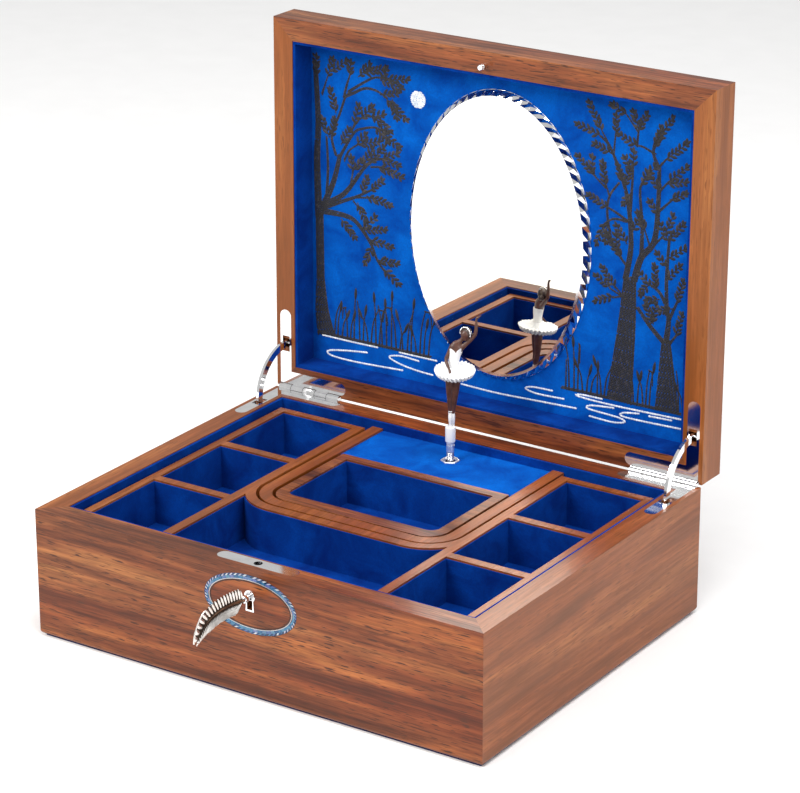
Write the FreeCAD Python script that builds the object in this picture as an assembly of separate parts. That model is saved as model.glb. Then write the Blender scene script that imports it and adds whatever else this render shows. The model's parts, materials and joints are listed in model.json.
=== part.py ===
"""Ballerina jewellery box: mirror lid on quadrant hinges, two lift-out trays, a lock with a feather key,
and a dancer on a flexing spring turned by a clockwork movement under her stage.

Millimetres. The origin is the centre of the footprint on the resting plane, +X is to the right as seen from
the front, the front faces -Y and +Z is up. The box rests with its lid open, its trays in and its key in."""
import FreeCAD
import Part
import math
import os

V = FreeCAD.Vector

# Case
WIDTH = 300.0
DEPTH = 234.4
BASE_HEIGHT = 78.8
LID_THICKNESS = 23.6
RIM = 13.5
PAD = 1.2
PAD_INSET = 2.5
BOTTOM_BOARD = 6.0
EDGE_ROUND = 2.6
WALL_SUEDE = 1.8
FLOOR_SUEDE = 1.0
SUEDE_BELOW_RIM = 0.6

# Lid
LID_TOP_PANEL = 4.0
LID_SUEDE_BOARD = 2.1
LID_GAP = 0.4
OPEN_ANGLE = 90.5
MIRROR_MARGIN = 14.2
MIRROR_SLENDER = 0.704
MIRROR_RISE = 1.3
MIRROR_THICKNESS = 4.0
MIRROR_EDGE_WIDTH = 5.0

# Quadrant hinges
AXIS_BEHIND_BACK = 0.8
KNUCKLES = 5
KNUCKLE_R = 2.5
KNUCKLE_RELIEF = 0.5
KNUCKLE_GAP = 0.3
HINGE_PIN_R = 1.2
LEAF = 1.5
LEAF_WIDTH = 8.0
LEAF_FROM_SIDE = 2.7
LEAF_FROM_BACK = 2.0
LEAF_BACK_LENGTH = 48.5
LEAF_SIDE_LENGTH = 48.0
ARM_R = 28.8
ARM_WIDTH = 4.4
ARM_THICKNESS = 1.8
ARM_FROM_SIDE = 7.0
ARM_END_ANGLE = 8.8
ARM_END_SPARE = 3.0
ARM_STOP_FROM_END = 1.5
ARM_SHARE = 0.7
ARM_STOP_R = 0.9
ARM_STOP_HALF = 3.5
ARM_SLOT_HALF_X = 2.6
ARM_SLOT_LENGTH = 10.0
MORTISE_CLEARANCE = 0.6
SCREW_HEAD_R = 2.8
SCREW_R = 1.4
SCREW_LENGTH = 9.0
SCREW_FROM_BACK = 6.5
SCREW_FROM_BACK_END = 4.2
SCREW_FROM_SIDE_END = 1.5
LID_CORNER_SCREW_IN = 7.3
BASE_CORNER_SCREW_IN = 1.0
BASE_CORNER_SCREW_FORWARD = 5.5

# Stage and trays
STAGE_DEPTH = 44.9
STAGE_BELOW_RIM = 5.6
STAGE_BOARD = 3.0
STAGE_SUEDE = 1.0
BAY_FRONT = 3.0
COVE_HALF_WIDTH = 67.4
COVE_LENGTH = 131.9
COVE_BAND = 7.4
COVE_RADIUS = 22.0
COVE_BELOW_RIM = 4.2
TRAY_SIDE_GAP = 2.8
TRAY_FRONT_GAP = 1.0
TRAY_BACK_GAP = 5.6
TRAY_TO_COVE = 2.0
TRAY_BELOW_RIM = 3.9
TRAY_SIDE = 5.3
TRAY_FRONT_RIM = 4.0
TRAY_BACK_RIM = 4.6
TRAY_COVE_WALL = 6.1
TRAY_DIVIDER = 5.6
TRAY_FLOOR_BELOW_RIM = 31.0
TRAY_BOARD = 2.5
ROWS = 3
CUP_WALL = 0.9
CUP_FLOOR = 1.0
CUP_BELOW_WOOD = 1.2
INNER_SIDE_GAP = 2.2
INNER_FRONT_GAP = 1.6
INNER_BACK_GAP = 0.6
INNER_SIDE_RIM = 6.6
INNER_FRONT_RIM = 9.2
INNER_BACK_RIM = 6.4
INNER_BELOW_RIM = 4.5
INNER_FLOOR_BELOW_RIM = 32.0
INNER_CUP_RADIUS = 6.0
RAIL_HEIGHT = 6.0
RAIL_FROM_END = 6.0
RAIL_WIDTH = 6.0
INNER_RAIL_WIDTH = 5.0

# Lock
PIN_FROM_FRONT = 8.2
LOCK_PLATE_LENGTH = 53.5
LOCK_PLATE_WIDTH = 8.4
LOCK_PLATE = 1.5
PLATE_HOLE_R = 2.5
CASE_LEFT = 13.0
CASE_RIGHT = 15.0
CASE_HALF_DEPTH = 3.9
CASE_WALL = 0.8
CASE_BELOW_KEY = 4.3
KEY_BELOW_RIM = 16.5
CORE_R = 3.0
CORE_TAIL_R = 2.2
KEY_R = 1.2
KEY_FIT = 0.05
KEY_BIT_REACH = 2.3
KEY_BIT_HALF = 0.5
BOLT_THICKNESS = 1.2
BOLT_BELOW_RIM = 3.3
BOLT_SIDE_FIT = 0.15
RACK_MODULE = 0.6
RACK_TEETH = 8
RACK_DEPTH = 0.8
CATCH_LENGTH = 6.6
CATCH_SHAFT_R = 1.6
CATCH_HEAD_R = 1.75
CATCH_NECK_R = 0.95
CATCH_NECK_PLAY = 0.3
CATCH_IN_LID = 8.0
KEY_TRAVEL_ANGLE = 90.0

# Keyhole, inlay and key
INLAY_BELOW_KEY = 4.9
INLAY_HALF_X = 31.0
INLAY_HALF_Z = 17.4
FIELD_HALF_X = 28.3
FIELD_HALF_Z = 13.9
INLAY_DEPTH = 1.2
PLATE_PROUD = 0.4
ESCUTCHEON = 0.9
ESCUTCHEON_R = 3.5
ESCUTCHEON_TAIL = 9.0
ESCUTCHEON_TAIL_HALF = 2.8
ESCUTCHEON_RIM = 1.0
KEY_SHAFT_OUT = 7.0
FEATHER_LENGTH = 42.6
FEATHER_WIDTH = 14.8
FEATHER_RISE = 2.2
FEATHER_DROOP = 9.0
FEATHER_THICKNESS = 1.8

# Music movement
SPINDLE_FROM_BACK = 17.9
SPINDLE_R = 2.0
SHAFT_FIT = 0.05
WELL_HEIGHT = 9.0
WELL_HOLE_R = 15.0
BEDPLATE = 2.0
PLATE_PAST_COMB = 2.5
PLATE_RIGHT = 42.0
PLATE_HALF_Y = 17.2
PLATE_SCREW_IN = 4.0
PLATE_SCREW_R = 1.2
PLATE_SCREW_HEAD_R = 2.2
PLATE_SCREW_DEPTH = 7.0
MOVEMENT_HEAD = 1.2
GEAR_LIFT = 3.3
GEAR_FACE = 2.0
TRAIN_MODULE = 0.8
BARREL_TEETH = 36
CYLINDER_TEETH = 20
IDLER_PINION_TEETH = 10
FLY_MODULE = 0.5
IDLER_TEETH = 40
FLY_TEETH = 8
BARREL_R = 12.5
BARREL_HEIGHT = 15.0
BARREL_WALL = 1.0
ARBOR_R = 1.5
STUD_R = 1.2
FLY_STUD_R = 0.8
CYLINDER_R = 6.5
PIN_HEIGHT = 0.7
PIN_ROOT = 1.5
PIN_R = 0.3
PIN_CLEAR_OF_COMB = -0.75
COMB_TEETH = 18
COMB_GAP = 0.25
COMB_TIP_GAP = 1.1
COMB_THICKNESS = 1.0
POST_WIDTH = 8.0
POST_PAST_COMB = 2.0
POST_BACK = 6.0
COMB_LENGTH = 15.5
COMB_HEIGHT = 14.0
COMB_OVER_GEAR = 1.5
COMB_TOOTH_LENGTH = 6.5
COMB_HEEL = 1.0
COMB_SCREW_IN = 3.0
COMB_SCREW_R = 1.0
COMB_SCREW_HEAD_R = 1.9
COMB_SCREW_DEPTH = 5.0
VANE_REACH = 7.0
KEY_WING = 12.5
KEY_WING_THICKNESS = 2.2

# Dancer, heights above the stage
FOLD_HEIGHT = 4.3
COLLAR_R = 5.7
COLLAR_THICKNESS = 0.8
COLLAR_CORNER = 1.02
BUSH_WALL = 0.9
BUSH_HOLE = 1.0
FOLD_PIN_R = 1.3
STEM_GAP = 0.3
STEM_START = 12.0
STEM_END = 21.9
STEM_R = 3.1
SLEEVE_R = 2.3
TUTU_HEIGHT = 57.2
TUTU_R = 12.6
TUTU_THICKNESS = 3.0
HEAD_HEIGHT = 79.5
HAND_HEIGHT = 91.5
FACING = 33.0

# Derived planes
HALF_X = WIDTH / 2
HALF_Y = DEPTH / 2
INNER_X = HALF_X - RIM
INNER_Y = HALF_Y - RIM
MIRROR_HALF_Y = INNER_Y - MIRROR_MARGIN
MIRROR_HALF_X = MIRROR_HALF_Y * MIRROR_SLENDER
LINED_X = INNER_X - WALL_SUEDE
LINED_Y = INNER_Y - WALL_SUEDE
RIM_Z = BASE_HEIGHT
FLOOR_Z = PAD + BOTTOM_BOARD
LID_Z = RIM_Z + LID_GAP
LID_TOP_Z = LID_Z + LID_THICKNESS
AXIS_Y = HALF_Y + AXIS_BEHIND_BACK
AXIS_Z = RIM_Z + LID_GAP / 2
STAGE_FRONT = LINED_Y - STAGE_DEPTH
STAGE_Z = RIM_Z - STAGE_BELOW_RIM
COVE_FRONT = LINED_Y - COVE_LENGTH
SPINDLE_Y = LINED_Y - SPINDLE_FROM_BACK
FOLD_Z = STAGE_Z + FOLD_HEIGHT
PIN_Y = -HALF_Y + PIN_FROM_FRONT
KEY_Z = RIM_Z - KEY_BELOW_RIM
INLAY_Z = KEY_Z - INLAY_BELOW_KEY
PLATE_Z = FLOOR_Z + WELL_HEIGHT
GEAR_Z = PLATE_Z + BEDPLATE + GEAR_LIFT


def box(x0, x1, y0, y1, z0, z1):
    return Part.makeBox(x1 - x0, y1 - y0, z1 - z0, V(x0, y0, z0))


def rod(radius, x, y, z0, z1):
    return Part.makeCylinder(radius, z1 - z0, V(x, y, z0))


def rod_x(radius, x0, x1, y, z):
    return Part.makeCylinder(radius, x1 - x0, V(x0, y, z), V(1, 0, 0))


def rod_y(radius, x, y0, y1, z):
    return Part.makeCylinder(radius, y1 - y0, V(x, y0, z), V(0, 1, 0))


def cone(r0, r1, x, y, z0, z1):
    return Part.makeCone(r0, r1, z1 - z0, V(x, y, z0))


def prism(points, z0, z1):
    corners = [V(x, y, z0) for x, y in points]
    return Part.Face(Part.makePolygon(corners + corners[:1])).extrude(V(0, 0, z1 - z0))


def oval_disc(half_x, half_y, z0, z1, y=0.0):
    """Elliptical disc about the Z axis; its longer half-axis may lie either way."""
    if half_x >= half_y:
        curve = Part.Ellipse(V(half_x, y, z0), V(0, y + half_y, z0), V(0, y, z0))
    else:
        curve = Part.Ellipse(V(0, y + half_y, z0), V(-half_x, y, z0), V(0, y, z0))
    return Part.Face(Part.Wire(curve.toShape())).extrude(V(0, 0, z1 - z0))


def fuse(*shapes):
    return shapes[0].multiFuse(list(shapes[1:])).removeSplitter()


def mirror_x(shape):
    return shape.mirror(V(0, 0, 0), V(1, 0, 0))


def sided(shape, side):
    return shape if side > 0 else mirror_x(shape)


def swing(shape, angle):
    """Turn a shape about the lid's axis; a positive angle opens the lid."""
    turned = shape.copy()
    turned.rotate(V(0, AXIS_Y, AXIS_Z), V(1, 0, 0), -angle)
    return turned


def opened(shape):
    return swing(shape, OPEN_ANGLE)


def round_edges(shape, radius, wanted):
    edges = [e for e in shape.Edges if wanted(e)]
    return shape.makeFillet(radius, edges)


def cove_block(half_width, front, back, radius, z0, z1):
    """Block whose two front vertical edges are rounded."""
    block = box(-half_width, half_width, front, back, z0, z1)
    return round_edges(block, radius, lambda e: abs(e.CenterOfMass.y - front) < 1e-6
                       and abs(abs(e.CenterOfMass.x) - half_width) < 1e-6)


def mitred_boards(z0, z1):
    """Front, back, left and right boards of a frame as wide and deep as the case."""
    outer = [(-HALF_X, -HALF_Y), (HALF_X, -HALF_Y), (HALF_X, HALF_Y), (-HALF_X, HALF_Y)]
    inner = [(-INNER_X, -INNER_Y), (INNER_X, -INNER_Y), (INNER_X, INNER_Y), (-INNER_X, INNER_Y)]
    boards = {}
    for i, name in enumerate(("front", "right", "back", "left")):
        j = (i + 1) % 4
        boards[name] = prism([outer[i], outer[j], inner[j], inner[i]], z0, z1)
    return boards


def on_outside(edge, z):
    """True for the outer long edge of a case board at height z."""
    c = edge.CenterOfMass
    outside = abs(abs(c.x) - HALF_X) < 1e-6 or abs(abs(c.y) - HALF_Y) < 1e-6
    return outside and abs(c.z - z) < 1e-6


def gear(teeth, module, z0, z1, phase=0.0):
    """Spur gear about the Z axis; its teeth are narrower than their spaces, so a pair turns freely."""
    pitch_r = teeth * module / 2
    step = 2 * math.pi / teeth
    flank = [(pitch_r - 1.15 * module, 0.30), (pitch_r, 0.20), (pitch_r + 0.85 * module, 0.09)]
    points = []
    for i in range(teeth):
        middle = phase + i * step
        for radius, share in [(r, -s) for r, s in flank] + flank[::-1]:
            a = middle + share * step
            points.append((radius * math.cos(a), radius * math.sin(a)))
    return prism(points, z0, z1)


def moved(shape, x, y, z=0.0):
    return shape.translated(V(x, y, z))


def along_y(shape, x, y, z):
    """Lay a shape made about the Z axis along +Y, starting at y."""
    laid = shape.copy()
    laid.rotate(V(0, 0, 0), V(1, 0, 0), -90)
    return laid.translated(V(x, y, z))


# Screws and hinges

def screw(x, y, z, up=1):
    """Countersunk screw whose head is flush at z and whose shank points to up * Z."""
    head = Part.makeCone(SCREW_HEAD_R, SCREW_R, LEAF, V(x, y, z), V(0, 0, up))
    shank = Part.makeCylinder(SCREW_R, SCREW_LENGTH, V(x, y, z), V(0, 0, up))
    return fuse(head, shank)


def screw_places(lid):
    """Screw centres of a right-hand leaf: the corner, the end of its back leg and of its side leg."""
    side_x = HALF_X - LEAF_FROM_SIDE - LEAF_WIDTH / 2
    back_y = HALF_Y - SCREW_FROM_BACK
    end_x = HALF_X - LEAF_FROM_SIDE - LEAF_BACK_LENGTH + SCREW_FROM_BACK_END
    end_y = HALF_Y - LEAF_SIDE_LENGTH + SCREW_FROM_SIDE_END
    corner_x = side_x - (LID_CORNER_SCREW_IN if lid else BASE_CORNER_SCREW_IN)
    corner_y = back_y - (0.0 if lid else BASE_CORNER_SCREW_FORWARD)
    return [(corner_x, corner_y), (end_x, back_y), (side_x, end_y)]


def leaf_outline(z0, z1):
    """L-shaped leaf of a right-hand hinge with round ends; its back leg reaches the knuckles."""
    x1 = HALF_X - LEAF_FROM_SIDE
    x0 = x1 - LEAF_BACK_LENGTH
    y1 = HALF_Y - LEAF_FROM_BACK
    side_end = y1 - LEAF_SIDE_LENGTH + LEAF_WIDTH / 2
    r = LEAF_WIDTH / 2
    back = fuse(box(x0 + r, x1, y1 - LEAF_WIDTH, y1, z0, z1), rod(r, x0 + r, y1 - r, z0, z1))
    side = fuse(box(x1 - LEAF_WIDTH, x1, side_end, y1, z0, z1), rod(r, x1 - r, side_end, z0, z1))
    tongue = box(x0 + r, x1, y1 - LEAF_WIDTH / 2, AXIS_Y, z0, z1)
    return fuse(back, side, tongue)


def arm_slot(z0, z1):
    x = HALF_X - ARM_FROM_SIDE
    y = AXIS_Y - ARM_R
    half_y = ARM_SLOT_LENGTH / 2
    return box(x - ARM_SLOT_HALF_X, x + ARM_SLOT_HALF_X, y - half_y, y + half_y, z0, z1)


def knuckle_spans():
    """Start and end in x of the right-hand hinge's five knuckles; the base has the odd ones."""
    x1 = HALF_X - LEAF_FROM_SIDE
    pitch = (LEAF_BACK_LENGTH - LEAF_WIDTH / 2) / KNUCKLES
    x0 = x1 - KNUCKLES * pitch
    return [(x0 + i * pitch, x0 + (i + 1) * pitch) for i in range(KNUCKLES)]


def knuckles(owned, z0, z1):
    """Leaf plate joined to its own knuckles and cut clear of the other leaf's."""
    spans = knuckle_spans()
    half = KNUCKLE_GAP / 2
    plate = leaf_outline(z0, z1)
    for i, (x0, x1) in enumerate(spans):
        if i % 2 != owned:
            clear_r = KNUCKLE_R + KNUCKLE_GAP
            plate = plate.cut(rod_x(clear_r, x0 - half, x1 + half, AXIS_Y, AXIS_Z))
    own = [rod_x(KNUCKLE_R, x0 + half, x1 - half, AXIS_Y, AXIS_Z)
           for i, (x0, x1) in enumerate(spans) if i % 2 == owned]
    return fuse(plate, *own)


def base_leaf():
    leaf = knuckles(0, RIM_Z - LEAF, RIM_Z).cut(arm_slot(RIM_Z - LEAF, RIM_Z))
    spans = knuckle_spans()
    pin = rod_x(HINGE_PIN_R, spans[0][0] + KNUCKLE_GAP, spans[-1][1] - KNUCKLE_GAP, AXIS_Y, AXIS_Z)
    return fuse(leaf, pin).cut(Part.Compound([screw(x, y, RIM_Z, -1) for x, y in screw_places(False)]))


def lid_leaf():
    leaf = knuckles(1, LID_Z, LID_Z + LEAF).cut(arm_slot(LID_Z, LID_Z + LEAF))
    bore = rod_x(HINGE_PIN_R + SHAFT_FIT, 0, WIDTH, AXIS_Y, AXIS_Z)
    return leaf.cut(bore).cut(Part.Compound([screw(x, y, LID_Z, 1) for x, y in screw_places(True)]))


def knuckle_relief():
    spans = knuckle_spans()
    x0, x1 = spans[0][0] - KNUCKLE_RELIEF, spans[-1][1] + KNUCKLE_RELIEF
    return rod_x(KNUCKLE_R + KNUCKLE_RELIEF, x0, x1, AXIS_Y, AXIS_Z)


def sector(r0, r1, x0, x1, start, end):
    """Ring sector about the lid's axis from start to end degrees, 0 pointing to -Y and 90 up."""
    corners = [V(x0, AXIS_Y - r0, AXIS_Z), V(x1, AXIS_Y - r0, AXIS_Z),
               V(x1, AXIS_Y - r1, AXIS_Z), V(x0, AXIS_Y - r1, AXIS_Z)]
    face = Part.Face(Part.makePolygon(corners + corners[:1]))
    face.rotate(V(0, AXIS_Y, AXIS_Z), V(1, 0, 0), -start)
    return face.revolve(V(0, AXIS_Y, AXIS_Z), V(1, 0, 0), start - end)


def quadrant_arm():
    """Quarter-ring arm of the right-hand hinge with a cross stop pin in each end."""
    x = HALF_X - ARM_FROM_SIDE
    start, end = -ARM_END_ANGLE, OPEN_ANGLE + ARM_END_ANGLE
    half_r, half_x = ARM_WIDTH / 2, ARM_THICKNESS / 2
    arm = sector(ARM_R - half_r, ARM_R + half_r, x - half_x, x + half_x, start, end)
    inset = math.degrees(ARM_STOP_FROM_END / ARM_R)
    stop = rod_x(ARM_STOP_R, x - ARM_STOP_HALF, x + ARM_STOP_HALF, AXIS_Y - ARM_R, AXIS_Z)
    return fuse(arm, swing(stop, start + inset), swing(stop, end - inset))


def arm_mortise(start, end):
    x = HALF_X - ARM_FROM_SIDE
    half_r = ARM_WIDTH / 2 + MORTISE_CLEARANCE
    half_x = ARM_STOP_HALF + MORTISE_CLEARANCE
    return sector(ARM_R - half_r, ARM_R + half_r, x - half_x, x + half_x, start, end)


def hinge_cuts(lid):
    """What the wood loses to one right-hand hinge, for the base or for the closed lid."""
    z = LID_Z if lid else RIM_Z
    up = 1 if lid else -1
    z0, z1 = (z, z + LEAF) if lid else (z - LEAF, z)
    spare = ARM_END_ANGLE + ARM_END_SPARE
    if lid:
        mortise = arm_mortise(0, (1 - ARM_SHARE) * OPEN_ANGLE + spare)
    else:
        mortise = arm_mortise(-ARM_SHARE * OPEN_ANGLE - spare, 0)
    screws = [screw(x, y, z, up) for x, y in screw_places(lid)]
    return [leaf_outline(z0, z1), knuckle_relief(), mortise] + screws


def add_hinges(nodes):
    for side, name in ((1, "right"), (-1, "left")):
        nodes["hinge_base_leaf_" + name] = sided(base_leaf(), side)
        nodes["hinge_lid_leaf_" + name] = opened(sided(lid_leaf(), side))
        nodes["quadrant_arm_" + name] = sided(quadrant_arm(), side)
    base_screws = [screw(x, y, RIM_Z, -1) for x, y in screw_places(False)]
    lid_screws = [screw(x, y, LID_Z, 1) for x, y in screw_places(True)]
    nodes["base_screws"] = Part.Compound([sided(s, side) for s in base_screws for side in (1, -1)]
                                         + movement_screws())
    nodes["lid_screws"] = opened(Part.Compound([sided(s, side) for s in lid_screws for side in (1, -1)]))


# Lock, keyhole and key

def lock_plate_outline(z0, z1):
    half = LOCK_PLATE_LENGTH / 2 - LOCK_PLATE_WIDTH / 2
    r = LOCK_PLATE_WIDTH / 2
    middle = box(-half, half, PIN_Y - r, PIN_Y + r, z0, z1)
    return fuse(middle, rod(r, -half, PIN_Y, z0, z1), rod(r, half, PIN_Y, z0, z1))


def case_outline():
    return box(-CASE_LEFT, CASE_RIGHT, PIN_Y - CASE_HALF_DEPTH, PIN_Y + CASE_HALF_DEPTH,
               KEY_Z - CASE_BELOW_KEY, RIM_Z - LOCK_PLATE)


def lock_case():
    w = CASE_WALL
    room = box(-CASE_LEFT + w, CASE_RIGHT - w, PIN_Y - CASE_HALF_DEPTH + w, PIN_Y + CASE_HALF_DEPTH - w,
               KEY_Z - CASE_BELOW_KEY + w, RIM_Z)
    door = rod_y(CORE_R + KEY_FIT, 0, -HALF_Y, PIN_Y, KEY_Z)
    back = rod_y(CORE_TAIL_R + KEY_FIT, 0, PIN_Y, HALF_Y, KEY_Z)
    return case_outline().cut(room).cut(door).cut(back)


def keyhole(y0, y1, grow=0.0):
    """Round hole for the key's shaft with a slot under it for the bit."""
    round_part = rod_y(ESCUTCHEON_R - ESCUTCHEON_RIM + grow, 0, y0, y1, KEY_Z)
    half = ESCUTCHEON_TAIL_HALF - ESCUTCHEON_RIM + grow
    slot = box(-half, half, y0, y1, KEY_Z - ESCUTCHEON_TAIL + ESCUTCHEON_RIM, KEY_Z)
    return fuse(round_part, slot)


def escutcheon_outline(y0, y1):
    round_part = rod_y(ESCUTCHEON_R, 0, y0, y1, KEY_Z)
    neck = ESCUTCHEON_TAIL_HALF - 0.6
    foot = [V(-neck, y0, KEY_Z), V(neck, y0, KEY_Z), V(ESCUTCHEON_TAIL_HALF, y0, KEY_Z - ESCUTCHEON_TAIL),
            V(-ESCUTCHEON_TAIL_HALF, y0, KEY_Z - ESCUTCHEON_TAIL)]
    tail = Part.Face(Part.makePolygon(foot + foot[:1])).extrude(V(0, y1 - y0, 0))
    return fuse(round_part, tail)


def inlay_disc(half_x, half_z):
    disc = oval_disc(half_x, half_z, 0, INLAY_DEPTH)
    return along_y(disc, 0, -HALF_Y, INLAY_Z)


def core_front():
    return -HALF_Y + ESCUTCHEON - PLATE_PROUD + 0.1


def rack_y():
    """Front face of the rack and its pinion, against the front of the case."""
    return PIN_Y - CASE_HALF_DEPTH + CASE_WALL + 0.1


def lock_core():
    front, pinion_end = core_front(), rack_y() + RACK_DEPTH
    head = rod_y(CORE_R, 0, front, rack_y() - 0.2, KEY_Z)
    pinion = along_y(gear(RACK_TEETH, RACK_MODULE, 0, pinion_end - rack_y() + 0.2), 0, rack_y() - 0.2, KEY_Z)
    tail = rod_y(CORE_TAIL_R, 0, pinion_end, PIN_Y + CASE_HALF_DEPTH, KEY_Z)
    bore = rod_y(KEY_R + KEY_FIT, 0, front, PIN_Y, KEY_Z)
    slot = box(-KEY_BIT_HALF - KEY_FIT, KEY_BIT_HALF + KEY_FIT, front, rack_y() - 0.2,
               KEY_Z - KEY_BIT_REACH - 0.2, KEY_Z)
    return fuse(head, pinion, tail).cut(bore).cut(slot)


def rack_teeth(z_pitch):
    """Rack teeth that point down to the pinion; a space is centred on x = 0, where the pinion has a tooth."""
    pitch = math.pi * RACK_MODULE
    y0 = rack_y()
    top = z_pitch + 1.15 * RACK_MODULE
    teeth = []
    for i in range(-4, 4):
        x = (i + 0.5) * pitch
        corners = [V(x - 0.30 * pitch, y0, top), V(x - 0.09 * pitch, y0, z_pitch - 0.85 * RACK_MODULE),
                   V(x + 0.09 * pitch, y0, z_pitch - 0.85 * RACK_MODULE), V(x + 0.30 * pitch, y0, top)]
        teeth.append(Part.Face(Part.makePolygon(corners + corners[:1])).extrude(V(0, RACK_DEPTH, 0)))
    return teeth, top


def lock_bolt():
    """L-shaped bolt: a rack below, and a flange whose keyhole slot closes round the catch pin's neck."""
    travel = RACK_TEETH * RACK_MODULE / 2 * math.radians(KEY_TRAVEL_ANGLE)
    z1 = RIM_Z - BOLT_BELOW_RIM
    z0 = z1 - BOLT_THICKNESS
    teeth, rack_top = rack_teeth(KEY_Z + RACK_TEETH * RACK_MODULE / 2)
    left, right = -CASE_LEFT + CASE_WALL + 2.0, CASE_RIGHT - CASE_WALL - travel - 1.0
    half = CASE_HALF_DEPTH - CASE_WALL - BOLT_SIDE_FIT
    web = box(left, right, rack_y(), rack_y() + RACK_DEPTH, rack_top, z0)
    flange = box(left, right, PIN_Y - half, PIN_Y + half, z0, z1)
    way_in = rod(CATCH_HEAD_R + 0.55, 0, PIN_Y, z0, z1)
    grip = CATCH_NECK_R + 0.35
    slot = fuse(box(-travel, 0, PIN_Y - grip, PIN_Y + grip, z0, z1), rod(grip, -travel, PIN_Y, z0, z1))
    return fuse(web, flange, *teeth).cut(fuse(way_in, slot))


def catch_pin():
    """Grooved pin of the closed lid; its neck stands level with the lock bolt's flange."""
    tip = LID_Z - CATCH_LENGTH
    neck_top = RIM_Z - BOLT_BELOW_RIM + CATCH_NECK_PLAY
    neck_low = RIM_Z - BOLT_BELOW_RIM - BOLT_THICKNESS - CATCH_NECK_PLAY
    head = rod(CATCH_HEAD_R, 0, PIN_Y, tip, neck_low)
    head = round_edges(head, 0.6, lambda e: abs(e.CenterOfMass.z - tip) < 1e-6)
    neck = rod(CATCH_NECK_R, 0, PIN_Y, neck_low, neck_top)
    shaft = rod(CATCH_SHAFT_R, 0, PIN_Y, neck_top, LID_Z + CATCH_IN_LID)
    return fuse(head, neck, shaft)


def feather_half(share):
    """Half width of the feather at a share of its length."""
    return FEATHER_WIDTH / 2 * min(1.0, (share / 0.1) ** 0.5) * min(1.0, ((1.02 - share) / 0.25) ** 0.5)


def feather_middle(share):
    """Height of the feather's rib over the key's axis at a share of its length."""
    return FEATHER_RISE * math.sin(math.pi * share ** 0.9) - FEATHER_DROOP * share ** 6


def feather_edge(root, share, way):
    """Point of the feather's upper (way 1) or lower (way -1) edge, square to its rib."""
    step = 0.001
    climb = (feather_middle(share + step) - feather_middle(share - step)) / (2 * step * FEATHER_LENGTH)
    tilt = math.atan(climb)
    half = way * feather_half(share)
    along = root - share * FEATHER_LENGTH
    return V(0, along + half * math.sin(tilt), KEY_Z + feather_middle(share) + half * math.cos(tilt))


def feather_key():
    """Key with a feather for its bow, which stands upright in the YZ plane and droops towards its tip."""
    start = -HALF_Y - KEY_SHAFT_OUT
    shares = [0.02] + [i / 12 for i in range(1, 13)]
    upper = [feather_edge(start, s, 1) for s in shares]
    lower = [feather_edge(start, s, -1) for s in shares]
    curves = []
    for points in (upper, lower):
        spline = Part.BSplineCurve()
        spline.interpolate(points)
        curves.append(spline.toShape())
    tip = Part.makeLine(upper[-1], lower[-1])
    root = Part.makeLine(lower[0], upper[0])
    outline = Part.Wire(Part.__sortEdges__([curves[0], tip, curves[1], root]))
    bow = Part.Face(outline).extrude(V(FEATHER_THICKNESS, 0, 0)).translated(V(-FEATHER_THICKNESS / 2, 0, 0))
    shaft = rod_y(KEY_R, 0, start - 3.0, PIN_Y - 1.0, KEY_Z)
    collar = rod_y(KEY_R + 0.9, 0, start + 1.0, start + 3.0, KEY_Z)
    bit = box(-KEY_BIT_HALF, KEY_BIT_HALF, core_front() + 0.5, rack_y() - 0.5, KEY_Z - KEY_BIT_REACH, KEY_Z)
    return fuse(bow, shaft, collar, bit)


def add_lock(nodes):
    plate = lock_plate_outline(RIM_Z - LOCK_PLATE, RIM_Z)
    nodes["lock_plate"] = plate.cut(rod(PLATE_HOLE_R, 0, PIN_Y, RIM_Z - LOCK_PLATE, RIM_Z))
    nodes["lock_case"] = lock_case()
    nodes["lock_core"] = lock_core()
    nodes["lock_bolt"] = lock_bolt()
    nodes["feather_key"] = feather_key()
    nodes["lid_catch_pin"] = opened(catch_pin())
    back = -HALF_Y - PLATE_PROUD + ESCUTCHEON
    plate = escutcheon_outline(-HALF_Y - PLATE_PROUD, back)
    nodes["keyhole_escutcheon"] = plate.cut(keyhole(-HALF_Y - PLATE_PROUD, back))
    pocket = escutcheon_outline(-HALF_Y - PLATE_PROUD, back)
    field = inlay_disc(FIELD_HALF_X, FIELD_HALF_Z)
    nodes["inlay_field"] = field.cut(pocket).cut(keyhole(-HALF_Y, PIN_Y, 0.4)).cut(core_way())
    nodes["inlay_ring"] = inlay_disc(INLAY_HALF_X, INLAY_HALF_Z).cut(field)


def core_way():
    return rod_y(CORE_R + 0.3, 0, -HALF_Y, PIN_Y - CASE_HALF_DEPTH, KEY_Z)


def lock_cuts():
    """What the front board loses to the lock, the keyhole and the inlay."""
    hole = keyhole(-HALF_Y, PIN_Y - CASE_HALF_DEPTH, 0.4)
    tail_way = rod_y(CORE_TAIL_R + 0.3, 0, PIN_Y, PIN_Y + CASE_HALF_DEPTH + 0.6, KEY_Z)
    pocket = escutcheon_outline(-HALF_Y, -HALF_Y - PLATE_PROUD + ESCUTCHEON)
    return [lock_plate_outline(RIM_Z - LOCK_PLATE, RIM_Z), case_outline(), hole, core_way(), tail_way, pocket,
            inlay_disc(INLAY_HALF_X, INLAY_HALF_Z)]


# Case

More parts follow.
